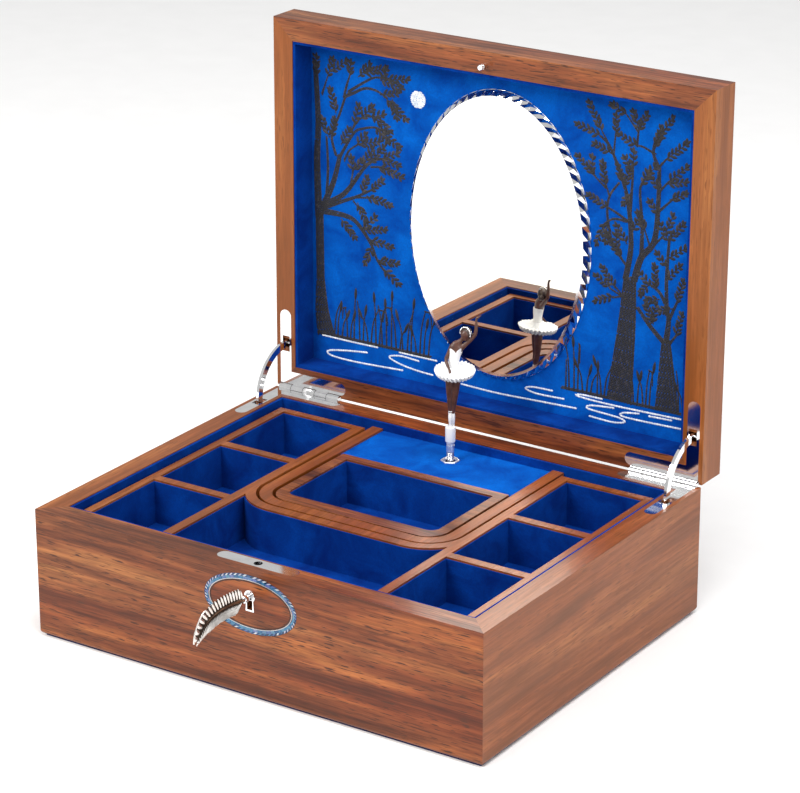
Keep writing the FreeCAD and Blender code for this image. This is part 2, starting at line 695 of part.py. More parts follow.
def add_base(nodes):
    boards = mitred_boards(PAD, RIM_Z)
    cuts = [sided(c, side) for c in hinge_cuts(False) for side in (1, -1)]
    for name, board in boards.items():
        shape = round_edges(board, EDGE_ROUND, lambda e: on_outside(e, PAD))
        tools = lock_cuts() if name == "front" else cuts
        nodes["base_" + name] = shape.cut(Part.Compound(tools))
    key_hole = rod(WELL_HOLE_R, 0, SPINDLE_Y, 0, FLOOR_Z)
    nodes["base_bottom"] = box(-INNER_X, INNER_X, -INNER_Y, INNER_Y, PAD, FLOOR_Z).cut(key_hole)
    pad_x, pad_y = HALF_X - PAD_INSET, HALF_Y - PAD_INSET
    nodes["base_pad"] = box(-pad_x, pad_x, -pad_y, pad_y, 0, PAD).cut(key_hole)
    top = RIM_Z - SUEDE_BELOW_RIM
    shell = box(-INNER_X, INNER_X, -INNER_Y, INNER_Y, FLOOR_Z, top)
    room = box(-LINED_X, LINED_X, -LINED_Y, LINED_Y, FLOOR_Z + FLOOR_SUEDE, top)
    bay = box(-bay_half(), bay_half(), STAGE_FRONT, LINED_Y, FLOOR_Z, top)
    nodes["base_lining"] = shell.cut(room).cut(bay)


def add_lid(nodes):
    boards = mitred_boards(LID_Z, LID_TOP_Z)
    cuts = [sided(c, side) for c in hinge_cuts(True) for side in (1, -1)]
    socket = rod(CATCH_SHAFT_R, 0, PIN_Y, LID_Z, LID_Z + CATCH_IN_LID)
    for name, board in boards.items():
        shape = round_edges(board, EDGE_ROUND, lambda e: on_outside(e, LID_TOP_Z))
        tools = [socket] if name == "front" else cuts
        nodes["lid_" + name] = opened(shape.cut(Part.Compound(tools)))
    board_z = LID_TOP_Z - LID_TOP_PANEL
    suede_z = board_z - LID_SUEDE_BOARD
    nodes["lid_top_panel"] = opened(box(-INNER_X, INNER_X, -INNER_Y, INNER_Y, board_z, LID_TOP_Z - 0.8))
    shell = box(-INNER_X, INNER_X, -INNER_Y, INNER_Y, LID_Z + SUEDE_BELOW_RIM, board_z)
    room = box(-LINED_X, LINED_X, -LINED_Y, LINED_Y, LID_Z, board_z)
    nodes["lid_lining"] = opened(shell.cut(room))
    mirror_z = suede_z - MIRROR_THICKNESS
    seat = oval_disc(MIRROR_HALF_X, MIRROR_HALF_Y, mirror_z, suede_z, -MIRROR_RISE)
    glass_x, glass_y = MIRROR_HALF_X - MIRROR_EDGE_WIDTH, MIRROR_HALF_Y - MIRROR_EDGE_WIDTH
    glass = oval_disc(glass_x, glass_y, mirror_z, suede_z, -MIRROR_RISE)
    nodes["lid_suede_panel"] = opened(box(-LINED_X, LINED_X, -LINED_Y, LINED_Y, suede_z, board_z))
    nodes["mirror_glass"] = opened(glass)
    nodes["mirror_edge"] = opened(seat.cut(glass))


# Stage and trays

def bay_half():
    return COVE_HALF_WIDTH - COVE_BAND


def tray_levels():
    """Underside of the outer tray, top of its bottom board, top of its wood."""
    under = RIM_Z - TRAY_FLOOR_BELOW_RIM - CUP_FLOOR - TRAY_BOARD
    return under, under + TRAY_BOARD, RIM_Z - TRAY_BELOW_RIM


def inner_levels():
    under = RIM_Z - INNER_FLOOR_BELOW_RIM - CUP_FLOOR - TRAY_BOARD
    return under, under + TRAY_BOARD, RIM_Z - INNER_BELOW_RIM


def add_stage(nodes):
    floor = FLOOR_Z + FLOOR_SUEDE
    top = RIM_Z - COVE_BELOW_RIM
    half = bay_half()
    outer = cove_block(COVE_HALF_WIDTH, COVE_FRONT, LINED_Y, COVE_RADIUS, floor, top)
    inner = cove_block(half, COVE_FRONT + COVE_BAND, LINED_Y, COVE_RADIUS - COVE_BAND, floor, top)
    nodes["stage_wall"] = outer.cut(inner)
    board_z = STAGE_Z - STAGE_SUEDE
    nodes["stage_front"] = box(-half, half, STAGE_FRONT, STAGE_FRONT + BAY_FRONT, FLOOR_Z, board_z - STAGE_BOARD)
    hole = rod(SPINDLE_R + BUSH_HOLE, 0, SPINDLE_Y, board_z - STAGE_BOARD, STAGE_Z)
    nodes["stage_board"] = box(-half, half, STAGE_FRONT, LINED_Y, board_z - STAGE_BOARD, board_z).cut(hole)
    nodes["stage_suede"] = box(-half, half, STAGE_FRONT, LINED_Y, board_z, STAGE_Z).cut(hole)
    collar = rod(COLLAR_R, 0, SPINDLE_Y, STAGE_Z, STAGE_Z + COLLAR_THICKNESS)
    turns = [math.radians(60 * i + 30) for i in range(6)]
    corner_r = COLLAR_R * COLLAR_CORNER
    corners = [(corner_r * math.cos(a), SPINDLE_Y + corner_r * math.sin(a)) for a in turns]
    hexagon = prism(corners, STAGE_Z, STAGE_Z + COLLAR_THICKNESS)
    bush = rod(SPINDLE_R + BUSH_WALL, 0, SPINDLE_Y, board_z - STAGE_BOARD, STAGE_Z)
    bore = rod(SPINDLE_R + SHAFT_FIT, 0, SPINDLE_Y, board_z - STAGE_BOARD, STAGE_Z + COLLAR_THICKNESS)
    nodes["spindle_collar"] = fuse(collar.common(hexagon), bush).cut(bore)
    under, inner_under = tray_levels()[0], inner_levels()[0]
    rail_y = LINED_Y - RAIL_FROM_END
    outer_rail = box(LINED_X - RAIL_WIDTH, LINED_X, -rail_y, rail_y, under - RAIL_HEIGHT, under)
    inner_rail = box(half - INNER_RAIL_WIDTH, half, COVE_FRONT + COVE_RADIUS, STAGE_FRONT,
                     inner_under - RAIL_HEIGHT, inner_under)
    nodes["tray_rails"] = Part.Compound([sided(r, side) for r in (outer_rail, inner_rail) for side in (1, -1)])


def cup(room, z0, z1):
    """Open-topped suede cup that fills a compartment given as a solid."""
    hollow = room.makeOffsetShape(-CUP_WALL, 1e-4, join=2)
    bounds = hollow.BoundBox
    hollow = hollow.translated(V(0, 0, z0 + CUP_FLOOR - bounds.ZMin))
    lid = hollow.translated(V(0, 0, z1 - hollow.BoundBox.ZMax + 0.5))
    return room.cut(hollow).cut(lid)


def tray_plan():
    """Half width, back edge and front edge of the outer tray."""
    return LINED_X - TRAY_SIDE_GAP, LINED_Y - TRAY_BACK_GAP, -LINED_Y + TRAY_FRONT_GAP


def cove_outline(grow, z0, z1):
    back = tray_plan()[1]
    return cove_block(COVE_HALF_WIDTH + grow, COVE_FRONT - grow, back, COVE_RADIUS + grow, z0, z1)


def tray_rows():
    """Front and back y of each row of compartments."""
    half, back, front = tray_plan()
    y0, y1 = front + TRAY_FRONT_RIM, back - TRAY_BACK_RIM
    depth = (y1 - y0 - (ROWS - 1) * TRAY_DIVIDER) / ROWS
    return [(y0 + i * (depth + TRAY_DIVIDER), y0 + i * (depth + TRAY_DIVIDER) + depth) for i in range(ROWS)]


def add_outer_tray(nodes):
    under, board_top, top = tray_levels()
    half, back, front = tray_plan()
    rows = tray_rows()
    y0, y1 = rows[0][0], rows[-1][1]
    x0 = COVE_HALF_WIDTH + TRAY_TO_COVE + TRAY_COVE_WALL
    x1 = half - TRAY_SIDE
    clear = cove_outline(TRAY_TO_COVE, under, top)
    cove = cove_outline(TRAY_TO_COVE + TRAY_COVE_WALL, board_top, top)
    nodes["outer_tray_bottom"] = box(-half, half, front, back, under, board_top).cut(clear)
    ring = box(-half, half, front, back, board_top, top).cut(box(-x1, x1, y0, y1, board_top, top))
    nodes["outer_tray_frame"] = ring.cut(cove)
    nodes["outer_tray_cove"] = cove.cut(clear)
    strips = []
    for side in (1, -1):
        arm = box(x0 - TRAY_COVE_WALL, x0, y0, COVE_FRONT + COVE_RADIUS, board_top, top).cut(cove)
        strips.append(sided(arm, side))
        for row in rows[1:]:
            strips.append(sided(box(x0, x1, row[0] - TRAY_DIVIDER, row[0], board_top, top), side))
    nodes["outer_tray_dividers"] = Part.Compound(strips)
    cup_top = top - CUP_BELOW_WOOD
    cups = [sided(cup(box(x0, x1, row[0], row[1], board_top, cup_top), board_top, cup_top), side)
            for row in rows for side in (1, -1)]
    inner_x = x0 - TRAY_COVE_WALL
    middle = box(-inner_x, inner_x, y0, COVE_FRONT + COVE_RADIUS, board_top, cup_top).cut(cove)
    cups.append(cup(middle, board_top, cup_top))
    nodes["outer_tray_cups"] = Part.Compound(cups)


def add_inner_tray(nodes):
    under, board_top, top = inner_levels()
    half = bay_half() - INNER_SIDE_GAP
    front = COVE_FRONT + COVE_BAND + INNER_FRONT_GAP
    back = STAGE_FRONT - INNER_BACK_GAP
    radius = COVE_RADIUS - COVE_BAND - INNER_FRONT_GAP
    cup_top = top - CUP_BELOW_WOOD
    plan = (half - INNER_SIDE_RIM, front + INNER_FRONT_RIM, back - INNER_BACK_RIM, INNER_CUP_RADIUS)
    cell, cell_low = cove_block(*plan, board_top, top), cove_block(*plan, board_top, cup_top)
    nodes["inner_tray_bottom"] = cove_block(half, front, back, radius, under, board_top)
    nodes["inner_tray_frame"] = cove_block(half, front, back, radius, board_top, top).cut(cell)
    nodes["inner_tray_cup"] = cup(cell_low, board_top, cup_top)


# Music movement

def distance(teeth_a, teeth_b, module):
    return (teeth_a + teeth_b) * module / 2


def cylinder_x():
    return -distance(BARREL_TEETH, CYLINDER_TEETH, TRAIN_MODULE)


def idler_x():
    return distance(BARREL_TEETH, IDLER_PINION_TEETH, TRAIN_MODULE)


def fly_x():
    return idler_x() + distance(IDLER_TEETH, FLY_TEETH, FLY_MODULE)


def barrel_top():
    return GEAR_Z + BARREL_HEIGHT


def fly_gear_z():
    return barrel_top() + 3.5


def comb_span():
    """Low and high z of the comb and of the pinned part of the cylinder."""
    low = GEAR_Z + GEAR_FACE + COMB_OVER_GEAR
    return low, low + COMB_HEIGHT


def comb_root_x():
    return cylinder_x() - CYLINDER_R - COMB_TIP_GAP - COMB_LENGTH


def plate_left():
    return -comb_root_x() + PLATE_PAST_COMB


def comb_holes(y0, y1, radius):
    z0, z1 = comb_span()
    x = comb_root_x() + COMB_SCREW_IN
    return [rod_y(radius, x, y0, y1, z) for z in (z0 + COMB_SCREW_IN, z1 - COMB_SCREW_IN)]


def plate_corners():
    """Centres of the four screws that hold the bedplate."""
    reach = PLATE_HALF_Y - PLATE_SCREW_IN
    left, right = -plate_left() + PLATE_SCREW_IN, PLATE_RIGHT - PLATE_SCREW_IN
    return [(x, SPINDLE_Y + dy) for x in (left, right) for dy in (-reach, reach)]


def movement_screws():
    """Screws of the bedplate and of the comb."""
    z_top = PLATE_Z + BEDPLATE
    corners = plate_corners()
    heads = [rod(PLATE_SCREW_HEAD_R, x, y, z_top, z_top + MOVEMENT_HEAD) for x, y in corners]
    shanks = [rod(PLATE_SCREW_R, x, y, PLATE_Z - PLATE_SCREW_DEPTH, z_top + MOVEMENT_HEAD) for x, y in corners]
    low_y = SPINDLE_Y - COMB_THICKNESS / 2
    heads += comb_holes(low_y - MOVEMENT_HEAD, low_y, COMB_SCREW_HEAD_R)
    shanks += comb_holes(low_y - MOVEMENT_HEAD, SPINDLE_Y + COMB_SCREW_DEPTH, COMB_SCREW_R)
    return [fuse(head, shank) for head, shank in zip(heads, shanks)]


def add_movement_frame(nodes):
    y0, y1 = SPINDLE_Y - PLATE_HALF_Y, SPINDLE_Y + PLATE_HALF_Y
    plate = box(-plate_left(), PLATE_RIGHT, y0, y1, PLATE_Z, PLATE_Z + BEDPLATE)
    z_top = PLATE_Z + BEDPLATE
    studs = [rod(STUD_R, cylinder_x(), SPINDLE_Y, z_top, comb_span()[1] + 1.5),
             rod(STUD_R, idler_x(), SPINDLE_Y, z_top, fly_gear_z() + GEAR_FACE + 1.0),
             rod(FLY_STUD_R, fly_x(), SPINDLE_Y, z_top, fly_gear_z() + GEAR_FACE + 1.0)]
    root = comb_root_x()
    post = box(root - POST_PAST_COMB, root + POST_WIDTH - POST_PAST_COMB, SPINDLE_Y + COMB_THICKNESS / 2,
               SPINDLE_Y + POST_BACK, z_top, comb_span()[1])
    bore = rod(ARBOR_R + SHAFT_FIT, 0, SPINDLE_Y, PLATE_Z, z_top)
    plate_holes = [rod(PLATE_SCREW_R, x, y, PLATE_Z - PLATE_SCREW_DEPTH, z_top) for x, y in plate_corners()]
    post = post.cut(Part.Compound(comb_holes(SPINDLE_Y, SPINDLE_Y + COMB_SCREW_DEPTH, COMB_SCREW_R)))
    nodes["movement_bedplate"] = fuse(plate, post, *studs).cut(Part.Compound(plate_holes + [bore]))
    well = box(-plate_left(), PLATE_RIGHT, y0, y1, FLOOR_Z, PLATE_Z)
    way = rod(WELL_HOLE_R, 0, SPINDLE_Y, FLOOR_Z, PLATE_Z)
    nodes["key_well"] = well.cut(way).cut(Part.Compound(plate_holes))


def add_comb(nodes):
    z0, z1 = comb_span()
    x0 = comb_root_x() - COMB_HEEL
    x1 = comb_root_x() + COMB_LENGTH
    half = COMB_THICKNESS / 2
    comb = box(x0, x1, SPINDLE_Y - half, SPINDLE_Y + half, z0, z1)
    pitch = (z1 - z0) / COMB_TEETH
    gaps = [box(x1 - COMB_TOOTH_LENGTH, x1, SPINDLE_Y - half, SPINDLE_Y + half, z0 + i * pitch - COMB_GAP / 2,
                z0 + i * pitch + COMB_GAP / 2) for i in range(1, COMB_TEETH)]
    holes = comb_holes(SPINDLE_Y - half, SPINDLE_Y + half, COMB_SCREW_R)
    nodes["music_comb"] = comb.cut(Part.Compound(gaps + holes))


def add_train(nodes):
    z0, z1 = GEAR_Z, GEAR_Z + GEAR_FACE
    y = SPINDLE_Y
    drum = rod(BARREL_R, 0, y, z0, barrel_top())
    room = rod(BARREL_R - BARREL_WALL, 0, y, z1, barrel_top() - BARREL_WALL)
    wheel = moved(gear(BARREL_TEETH, TRAIN_MODULE, z0, z1), 0, y)
    bore = rod(ARBOR_R + SHAFT_FIT, 0, y, z0, barrel_top())
    nodes["spring_barrel"] = fuse(drum, wheel).cut(room).cut(bore)
    boss = rod(4.0, 0, y, barrel_top(), barrel_top() + 2.5)
    shaft = rod(SPINDLE_R, 0, y, barrel_top() + 2.5, spindle_top())
    nodes["spindle"] = fuse(boss, shaft)
    half_step = math.pi / CYLINDER_TEETH
    wheel = gear(CYLINDER_TEETH, TRAIN_MODULE, z0, z1, half_step)
    body = rod(CYLINDER_R, 0, 0, z1, comb_span()[1] + 1.0)
    pins = pinned_cylinder(comb_span()[0], comb_span()[1])
    turned = fuse(wheel, body, *pins).cut(rod(STUD_R + SHAFT_FIT, 0, 0, z0, comb_span()[1] + 1.0))
    nodes["music_cylinder"] = moved(turned, cylinder_x(), y)
    pinion = gear(IDLER_PINION_TEETH, TRAIN_MODULE, z0, z1, math.pi + math.pi / IDLER_PINION_TEETH)
    sleeve = rod(STUD_R + 1.0, 0, 0, z1, fly_gear_z())
    big = gear(IDLER_TEETH, FLY_MODULE, fly_gear_z(), fly_gear_z() + 1.4)
    idler = fuse(pinion, sleeve, big).cut(rod(STUD_R + SHAFT_FIT, 0, 0, z0, fly_gear_z() + 1.4))
    nodes["governor_wheel"] = moved(idler, idler_x(), y)
    nodes["governor_fly"] = moved(fly(), fly_x(), y)


def spindle_top():
    return FOLD_Z - SLEEVE_R - STEM_GAP


def pinned_cylinder(z0, z1):
    """Short pins on a winding line round the cylinder, one or two for each tooth of the comb."""
    pitch = (z1 - z0) / COMB_TEETH
    pins = []
    for i in range(2 * COMB_TEETH):
        angle = math.radians(40 + i * 137.5)
        z = z0 + (i % COMB_TEETH + 0.5) * pitch
        if math.cos(angle) > PIN_CLEAR_OF_COMB:
            direction = V(math.cos(angle), math.sin(angle), 0)
            root = direction * (CYLINDER_R - PIN_ROOT) + V(0, 0, z)
            pins.append(Part.makeCylinder(PIN_R, PIN_ROOT + PIN_HEIGHT, root, direction))
    return pins


def fly():
    """Air brake: a pinion on a sleeve with two flat vanes."""
    z = fly_gear_z()
    low = GEAR_Z + GEAR_FACE + 1.5
    pinion = gear(FLY_TEETH, FLY_MODULE, z, z + 1.4, math.pi + math.pi / FLY_TEETH)
    sleeve = rod(FLY_STUD_R + 0.5, 0, 0, low, z)
    vanes = box(-VANE_REACH, VANE_REACH, -0.4, 0.4, low + 1.0, z - 2.0)
    return fuse(pinion, sleeve, vanes).cut(rod(FLY_STUD_R + SHAFT_FIT, 0, 0, low, z + 1.4))


def winding_key():
    """Butterfly key under the base, on the arbor that winds the spring."""
    y = SPINDLE_Y
    arbor = rod(ARBOR_R, 0, y, 5.0, barrel_top() - 0.3)
    low, high = 3.2, PLATE_Z - 1.6
    wing = box(-KEY_WING, KEY_WING, y - KEY_WING_THICKNESS / 2, y + KEY_WING_THICKNESS / 2, low, high - 2.0)
    wing = round_edges(wing, 3.0, lambda e: abs(abs(e.CenterOfMass.x) - KEY_WING) < 1e-6
                       and abs(e.CenterOfMass.y - y) < 1e-6)
    hub = rod(3.2, 0, y, low + 1.0, high)
    return fuse(arbor, wing, hub)


# Dancer

def dancer_point(across, height, depth=0.0):
    """Point of the dancer: across to her raised-arm side, height above the stage, depth to her front."""
    a = math.radians(FACING)
    x = across * math.cos(a) + depth * math.sin(a)
    y = SPINDLE_Y + across * math.sin(a) - depth * math.cos(a)
    return V(x, y, STAGE_Z + height)


def limb(start, end, r0, r1):
    direction = end - start
    return Part.makeCone(r0, r1, direction.Length, start, direction)


def chain(points, radii):
    """Limb through several joints: cones with a slightly larger ball at each joint."""
    pieces = [Part.makeSphere(r * 1.06, p) for p, r in zip(points, radii)]
    for i in range(len(points) - 1):
        pieces.append(limb(points[i], points[i + 1], radii[i], radii[i + 1] * 0.98))
    return pieces


def dancer_figure():
    """Legs, torso, neck, head and two arms as one plain solid."""
    trunk = chain([dancer_point(0.3, STEM_END + 2.3), dancer_point(0.6, 30), dancer_point(1.0, 38),
                   dancer_point(1.5, TUTU_HEIGHT - 3.7), dancer_point(1.85, 62.5), dancer_point(2.9, 70)],
                  [1.8, 2.0, 2.9, 4.0, 2.9, 3.7])
    shoes = rod(1.8, 0, SPINDLE_Y, STAGE_Z + STEM_END, STAGE_Z + STEM_END + 2.5)
    neck = chain([dancer_point(4.6, 72.5), dancer_point(7.2, 76.2)], [1.8, 1.5])
    head = Part.makeSphere(3.8, dancer_point(8.6, HEAD_HEIGHT))
    raised = chain([dancer_point(6.2, 71.3), dancer_point(14.3, 79.1), dancer_point(14.9, 88.0),
                    dancer_point(17.4, HAND_HEIGHT - 0.6)], [1.5, 1.25, 0.85, 0.6])
    lowered = chain([dancer_point(0.9, 72.6), dancer_point(-2.85, 64.4, 1.5),
                     dancer_point(-0.6, TUTU_HEIGHT + 2.9, 5.2)], [1.5, 1.2, 0.8])
    return fuse(shoes, *trunk, *neck, head, *raised, *lowered)


def add_dancer(nodes):
    y = SPINDLE_Y
    nodes["spring_knuckle"] = rod_x(FOLD_PIN_R, -FOLD_PIN_R, FOLD_PIN_R, y, FOLD_Z)
    low = FOLD_Z + FOLD_PIN_R + STEM_GAP
    metal = rod(SLEEVE_R, 0, y, low, STAGE_Z + STEM_START)
    white = rod(STEM_R, 0, y, STAGE_Z + STEM_START, STAGE_Z + STEM_END)
    white = round_edges(white, 0.8, lambda e: abs(e.CenterOfMass.z - STAGE_Z - STEM_START) < 1e-6)
    nodes["dancer_stem"] = fuse(metal, white)
    nodes["dancer_figure"] = dancer_figure()
    skirt_low = STAGE_Z + TUTU_HEIGHT - TUTU_THICKNESS / 2
    centre, waist = dancer_point(2.5, 0), dancer_point(1.6, 0)
    skirt = cone(TUTU_R, TUTU_R - 1.6, centre.x, centre.y, skirt_low, skirt_low + TUTU_THICKNESS)
    nodes["dancer_tutu"] = skirt.cut(rod(4.1, waist.x, waist.y, skirt_low, skirt_low + TUTU_THICKNESS))


def build():
    nodes = {}
    add_base(nodes)
    add_lid(nodes)
    add_hinges(nodes)
    add_lock(nodes)
    add_stage(nodes)
    add_outer_tray(nodes)
    add_inner_tray(nodes)
    add_movement_frame(nodes)
    add_comb(nodes)
    add_train(nodes)
    nodes["winding_key"] = winding_key()
    add_dancer(nodes)
    return nodes


def main():
    os.makedirs("parts", exist_ok=True)
    for name, shape in build().items():
        shape.exportStep("parts/" + name + ".step")


if __name__ == "__main__":
    main()
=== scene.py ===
# %% [markdown]
# # A ballerina jewellery box in koa and blue suede
# The box is a shallow koa case with a deep lid that stands open on two quadrant hinges. Lid and
# trays are lined with royal blue suede. The lid carries an oval mirror in an embroidered marsh
# landscape, and a small dancer turns on a spring over the stage at the back.
# The hard parts come finished from the CAD frame and only need their materials here. Everything
# sewn, carved, twisted or cut is built in this file, piece by piece, and laid into that frame.

import json
import math
import random

import bmesh
import bpy
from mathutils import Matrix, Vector


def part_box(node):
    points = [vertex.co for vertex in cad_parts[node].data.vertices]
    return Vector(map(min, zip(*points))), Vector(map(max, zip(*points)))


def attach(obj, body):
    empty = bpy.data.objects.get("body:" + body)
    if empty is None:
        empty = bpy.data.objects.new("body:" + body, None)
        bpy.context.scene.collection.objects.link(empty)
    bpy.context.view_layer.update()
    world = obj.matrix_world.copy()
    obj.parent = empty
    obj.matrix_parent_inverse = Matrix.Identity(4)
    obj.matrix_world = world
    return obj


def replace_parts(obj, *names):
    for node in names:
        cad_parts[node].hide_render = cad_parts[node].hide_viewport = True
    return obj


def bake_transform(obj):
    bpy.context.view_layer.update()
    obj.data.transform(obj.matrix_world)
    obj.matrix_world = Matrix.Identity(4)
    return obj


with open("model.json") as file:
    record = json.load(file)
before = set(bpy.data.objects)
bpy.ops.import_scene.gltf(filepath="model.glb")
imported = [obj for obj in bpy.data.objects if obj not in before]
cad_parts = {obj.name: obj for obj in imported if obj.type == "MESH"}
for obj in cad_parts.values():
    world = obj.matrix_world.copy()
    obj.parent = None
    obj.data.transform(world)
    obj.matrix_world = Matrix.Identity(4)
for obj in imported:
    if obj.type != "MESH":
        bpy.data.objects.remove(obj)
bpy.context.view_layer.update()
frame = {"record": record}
MM = 0.001

# %% [markdown]
# ## Camera
# The box is seen from its right front corner, a little from above, with a long lens from far
# away, as a catalogue shows it. A long lens keeps the rims nearly parallel. The small shift
# centres the open box in the frame without tilting the camera.

# %% Camera
VIEW_AZIMUTH = math.radians(33.28)
VIEW_ELEVATION = math.radians(20.92)
backward = Vector((
    math.sin(VIEW_AZIMUTH) * math.cos(VIEW_ELEVATION),
    -math.cos(VIEW_AZIMUTH) * math.cos(VIEW_ELEVATION),
    math.sin(VIEW_ELEVATION),
))
camera = bpy.data.objects.new("camera", bpy.data.cameras.new("camera"))
bpy.context.collection.objects.link(camera)
camera.location = (0.9483, -1.3932, 0.7899)
camera.rotation_mode = "QUATERNION"
camera.rotation_quaternion = (-backward).to_track_quat("-Z", "Y")
camera.data.lens = 144.2
camera.data.shift_x = -0.0252
camera.data.shift_y = -0.0100
bpy.context.scene.camera = camera
bpy.context.scene.view_settings.view_transform = "Standard"
print("camera", round(camera.location.length, 3), "m from the box")

# %% [markdown]
# ## Room and light
# Polished wood and chrome only look polished when they have something to mirror, so the light is
# a white room with three large soft lamps. The key lamp hangs high at the left front, so the
# front of the case is brighter than its right side and the left inner wall of the lid is dark.

# %% Lamps and floor
WHITE_ROOM = 0.58


def softbox(name, place, size, watts, tint=(1, 1, 1)):
    lamp = bpy.data.lights.new(name, "AREA")
    lamp.shape = "RECTANGLE"
    lamp.size, lamp.size_y = size
    lamp.energy = watts
    lamp.color = tint
    holder = bpy.data.objects.new(name, lamp)
    bpy.context.collection.objects.link(holder)
    holder.location = place
    aim = Vector((0, 0, 0.12)) - Vector(place)
    holder.rotation_euler = aim.to_track_quat("-Z", "Y").to_euler()
    return holder


softbox("key_lamp", (-0.7, -1.5, 1.5), (0.9, 0.9), 34, (1, 0.98, 0.95))
softbox("top_lamp", (0.5, -0.2, 1.7), (1.0, 0.8), 20)
softbox("side_lamp", (1.6, -0.3, 0.7), (0.7, 0.7), 7)

room = bpy.data.worlds.new("white_room")
room.use_nodes = True
room.node_tree.nodes["Background"].inputs["Color"].default_value = (1, 1, 1, 1)
room.node_tree.nodes["Background"].inputs["Strength"].default_value = WHITE_ROOM
bpy.context.scene.world = room

# %% [markdown]
# ## Mixing materials
# Every finish below is a small recipe of nodes around Blender's Principled shader. Three short
# helpers keep a recipe readable: one adds a node and fills its inputs, one blends two colours,
# and one turns a grey pattern into a row of colours. Patterns read the object's own coordinates
# in metres, so a scale of 1000 gives a detail about a millimetre wide.

# %% Helpers for materials


def new_finish(name):
    finish = bpy.data.materials.new(name)
    finish.use_nodes = True
    return finish, finish.node_tree, finish.node_tree.nodes["Principled BSDF"]


def put(tree, kind, **given):
    """Adds a node. Names with a capital fill inputs, with _ for a space; the others are settings."""
    node = tree.nodes.new("ShaderNode" + kind)
    for key, value in given.items():
        if not key[0].isupper():
            setattr(node, key, value)
        elif isinstance(value, bpy.types.NodeSocket):
            tree.links.new(value, node.inputs[key.replace("_", " ")])
        else:
            node.inputs[key.replace("_", " ")].default_value = value
    return node


def shades(tree, pattern, *stops):
    """Colour ramp: each stop is a place from 0 to 1 and a colour or a grey."""
    ramp = put(tree, "ValToRGB", Fac=pattern)
    marks = ramp.color_ramp.elements
    while len(marks) < len(stops):
        marks.new(0.5)
    for mark, (place, colour) in zip(marks, sorted(stops, key=lambda s: s[0])):
        mark.position = place
        mark.color = (*colour, 1) if hasattr(colour, "__len__") else (colour, colour, colour, 1)
    return ramp.outputs["Color"]


def over(tree, share, under, upper, how="MIX"):
    """Blends the upper colour over the under one by share."""
    mix = put(tree, "Mix", data_type="RGBA", blend_type=how)
    for place, value in ((0, share), (6, under), (7, upper)):
        if isinstance(value, bpy.types.NodeSocket):
            tree.links.new(value, mix.inputs[place])
        elif place == 0:
            mix.inputs[0].default_value = value
        else:
            mix.inputs[place].default_value = (*value, 1)
    return mix.outputs[2]


def speckle(tree, place, scale, detail=2.0, rough=0.5, bend=0.0):
    """Noise pattern: scale is how many spots fit in a metre."""
    noise = put(
        tree, "TexNoise", Vector=place, Scale=scale, Detail=detail, Roughness=rough, Distortion=bend
    )
    return noise.outputs["Fac"]


def relief(tree, shader, pattern, strength, depth):
    bump = put(tree, "Bump", Height=pattern, Strength=strength, Distance=depth)
    tree.links.new(bump.outputs["Normal"], shader.inputs["Normal"])


def own_place(tree, squeeze=(1, 1, 1), move=(0, 0, 0)):
    """The piece's own coordinates, squeezed so that patterns stretch along an axis."""
    inside = put(tree, "TexCoord").outputs["Object"]
    return put(tree, "Mapping", Vector=inside, Scale=squeeze, Location=move).outputs["Vector"]


print("helpers for materials ready")

# %% [markdown]
# ## Koa wood
# Koa is a Hawaiian hardwood with golden, orange and dark brown streaks, open pores, and a ripple
# across the grain whose shine is painted into the colour as a lighter sheen. An image texture would repeat
# and have one grain direction only.
# Noise that is squeezed along one axis gives streaks of any length in that direction, so the same
# recipe makes the long front boards, the side boards and the standing lid boards.

# %% Koa recipe
GRAIN_STRETCH = 0.07


def koa(name, along, warm=0.0, move=(0, 0, 0)):
    finish, tree, shader = new_finish(name)
    squeeze = [1.0, 1.0, 1.0]
    squeeze["XYZ".index(along)] = GRAIN_STRETCH
    place = own_place(tree, squeeze, move)
    fine_squeeze = [1.0, 1.0, 1.0]
    fine_squeeze["XYZ".index(along)] = 0.03
    fine_place = own_place(tree, fine_squeeze, move)
    streaks = shades(
        tree, speckle(tree, place, 85, 4, 0.6, 0.5),
        (0.28, (0.042, 0.011, 0.004)), (0.42, (0.145, 0.044, 0.014)),
        (0.54, (0.245, 0.086, 0.029)), (0.72, (0.42, 0.185, 0.062)),
    )
    broad = shades(tree, speckle(tree, place, 22, 2, 0.5, 0.3), (0.3, 0.0), (0.7, 1.0))
    rosy = over(tree, broad, streaks, (0.36, 0.19, 0.13), "SOFT_LIGHT")
    fibres = shades(tree, speckle(tree, fine_place, 620, 4, 0.7), (0.32, 0.42), (0.68, 1.22))
    grained = over(tree, 0.9, rosy, (1, 1, 1), "MULTIPLY")
    tree.links.new(fibres, grained.node.inputs[7])
    pores = shades(tree, speckle(tree, place, 1500, 1, 0.4), (0.60, 0.0), (0.68, 1.0))
    pored = over(tree, pores, grained, (0.06, 0.018, 0.007))
    # Painted sheen: broad lighter patches multiplied into the colour stand in for the shimmer of the ripple;
    # they are fixed in place and do not move with the view.
    painted_sheen_ripple = shades(tree, speckle(tree, own_place(tree), 60, 1, 0.4), (0.35, 0.0), (0.65, 1.0))
    koa_with_painted_sheen = over(tree, painted_sheen_ripple, pored, (1.14, 1.10, 1.04), "MULTIPLY")
    final = over(tree, warm, koa_with_painted_sheen, (0.30, 0.085, 0.010), "MIX")
    tree.links.new(final, shader.inputs["Base Color"])
    tree.links.new(
        shades(tree, fibres, (0.0, 0.52), (1.0, 0.38)), shader.inputs["Roughness"]
    )
    shader.inputs["Coat Weight"].default_value = 0.14
    shader.inputs["Coat Roughness"].default_value = 0.14
    shader.inputs["Specular IOR Level"].default_value = 0.25
    relief(tree, shader, pores, -0.25, 0.00015)
    return finish


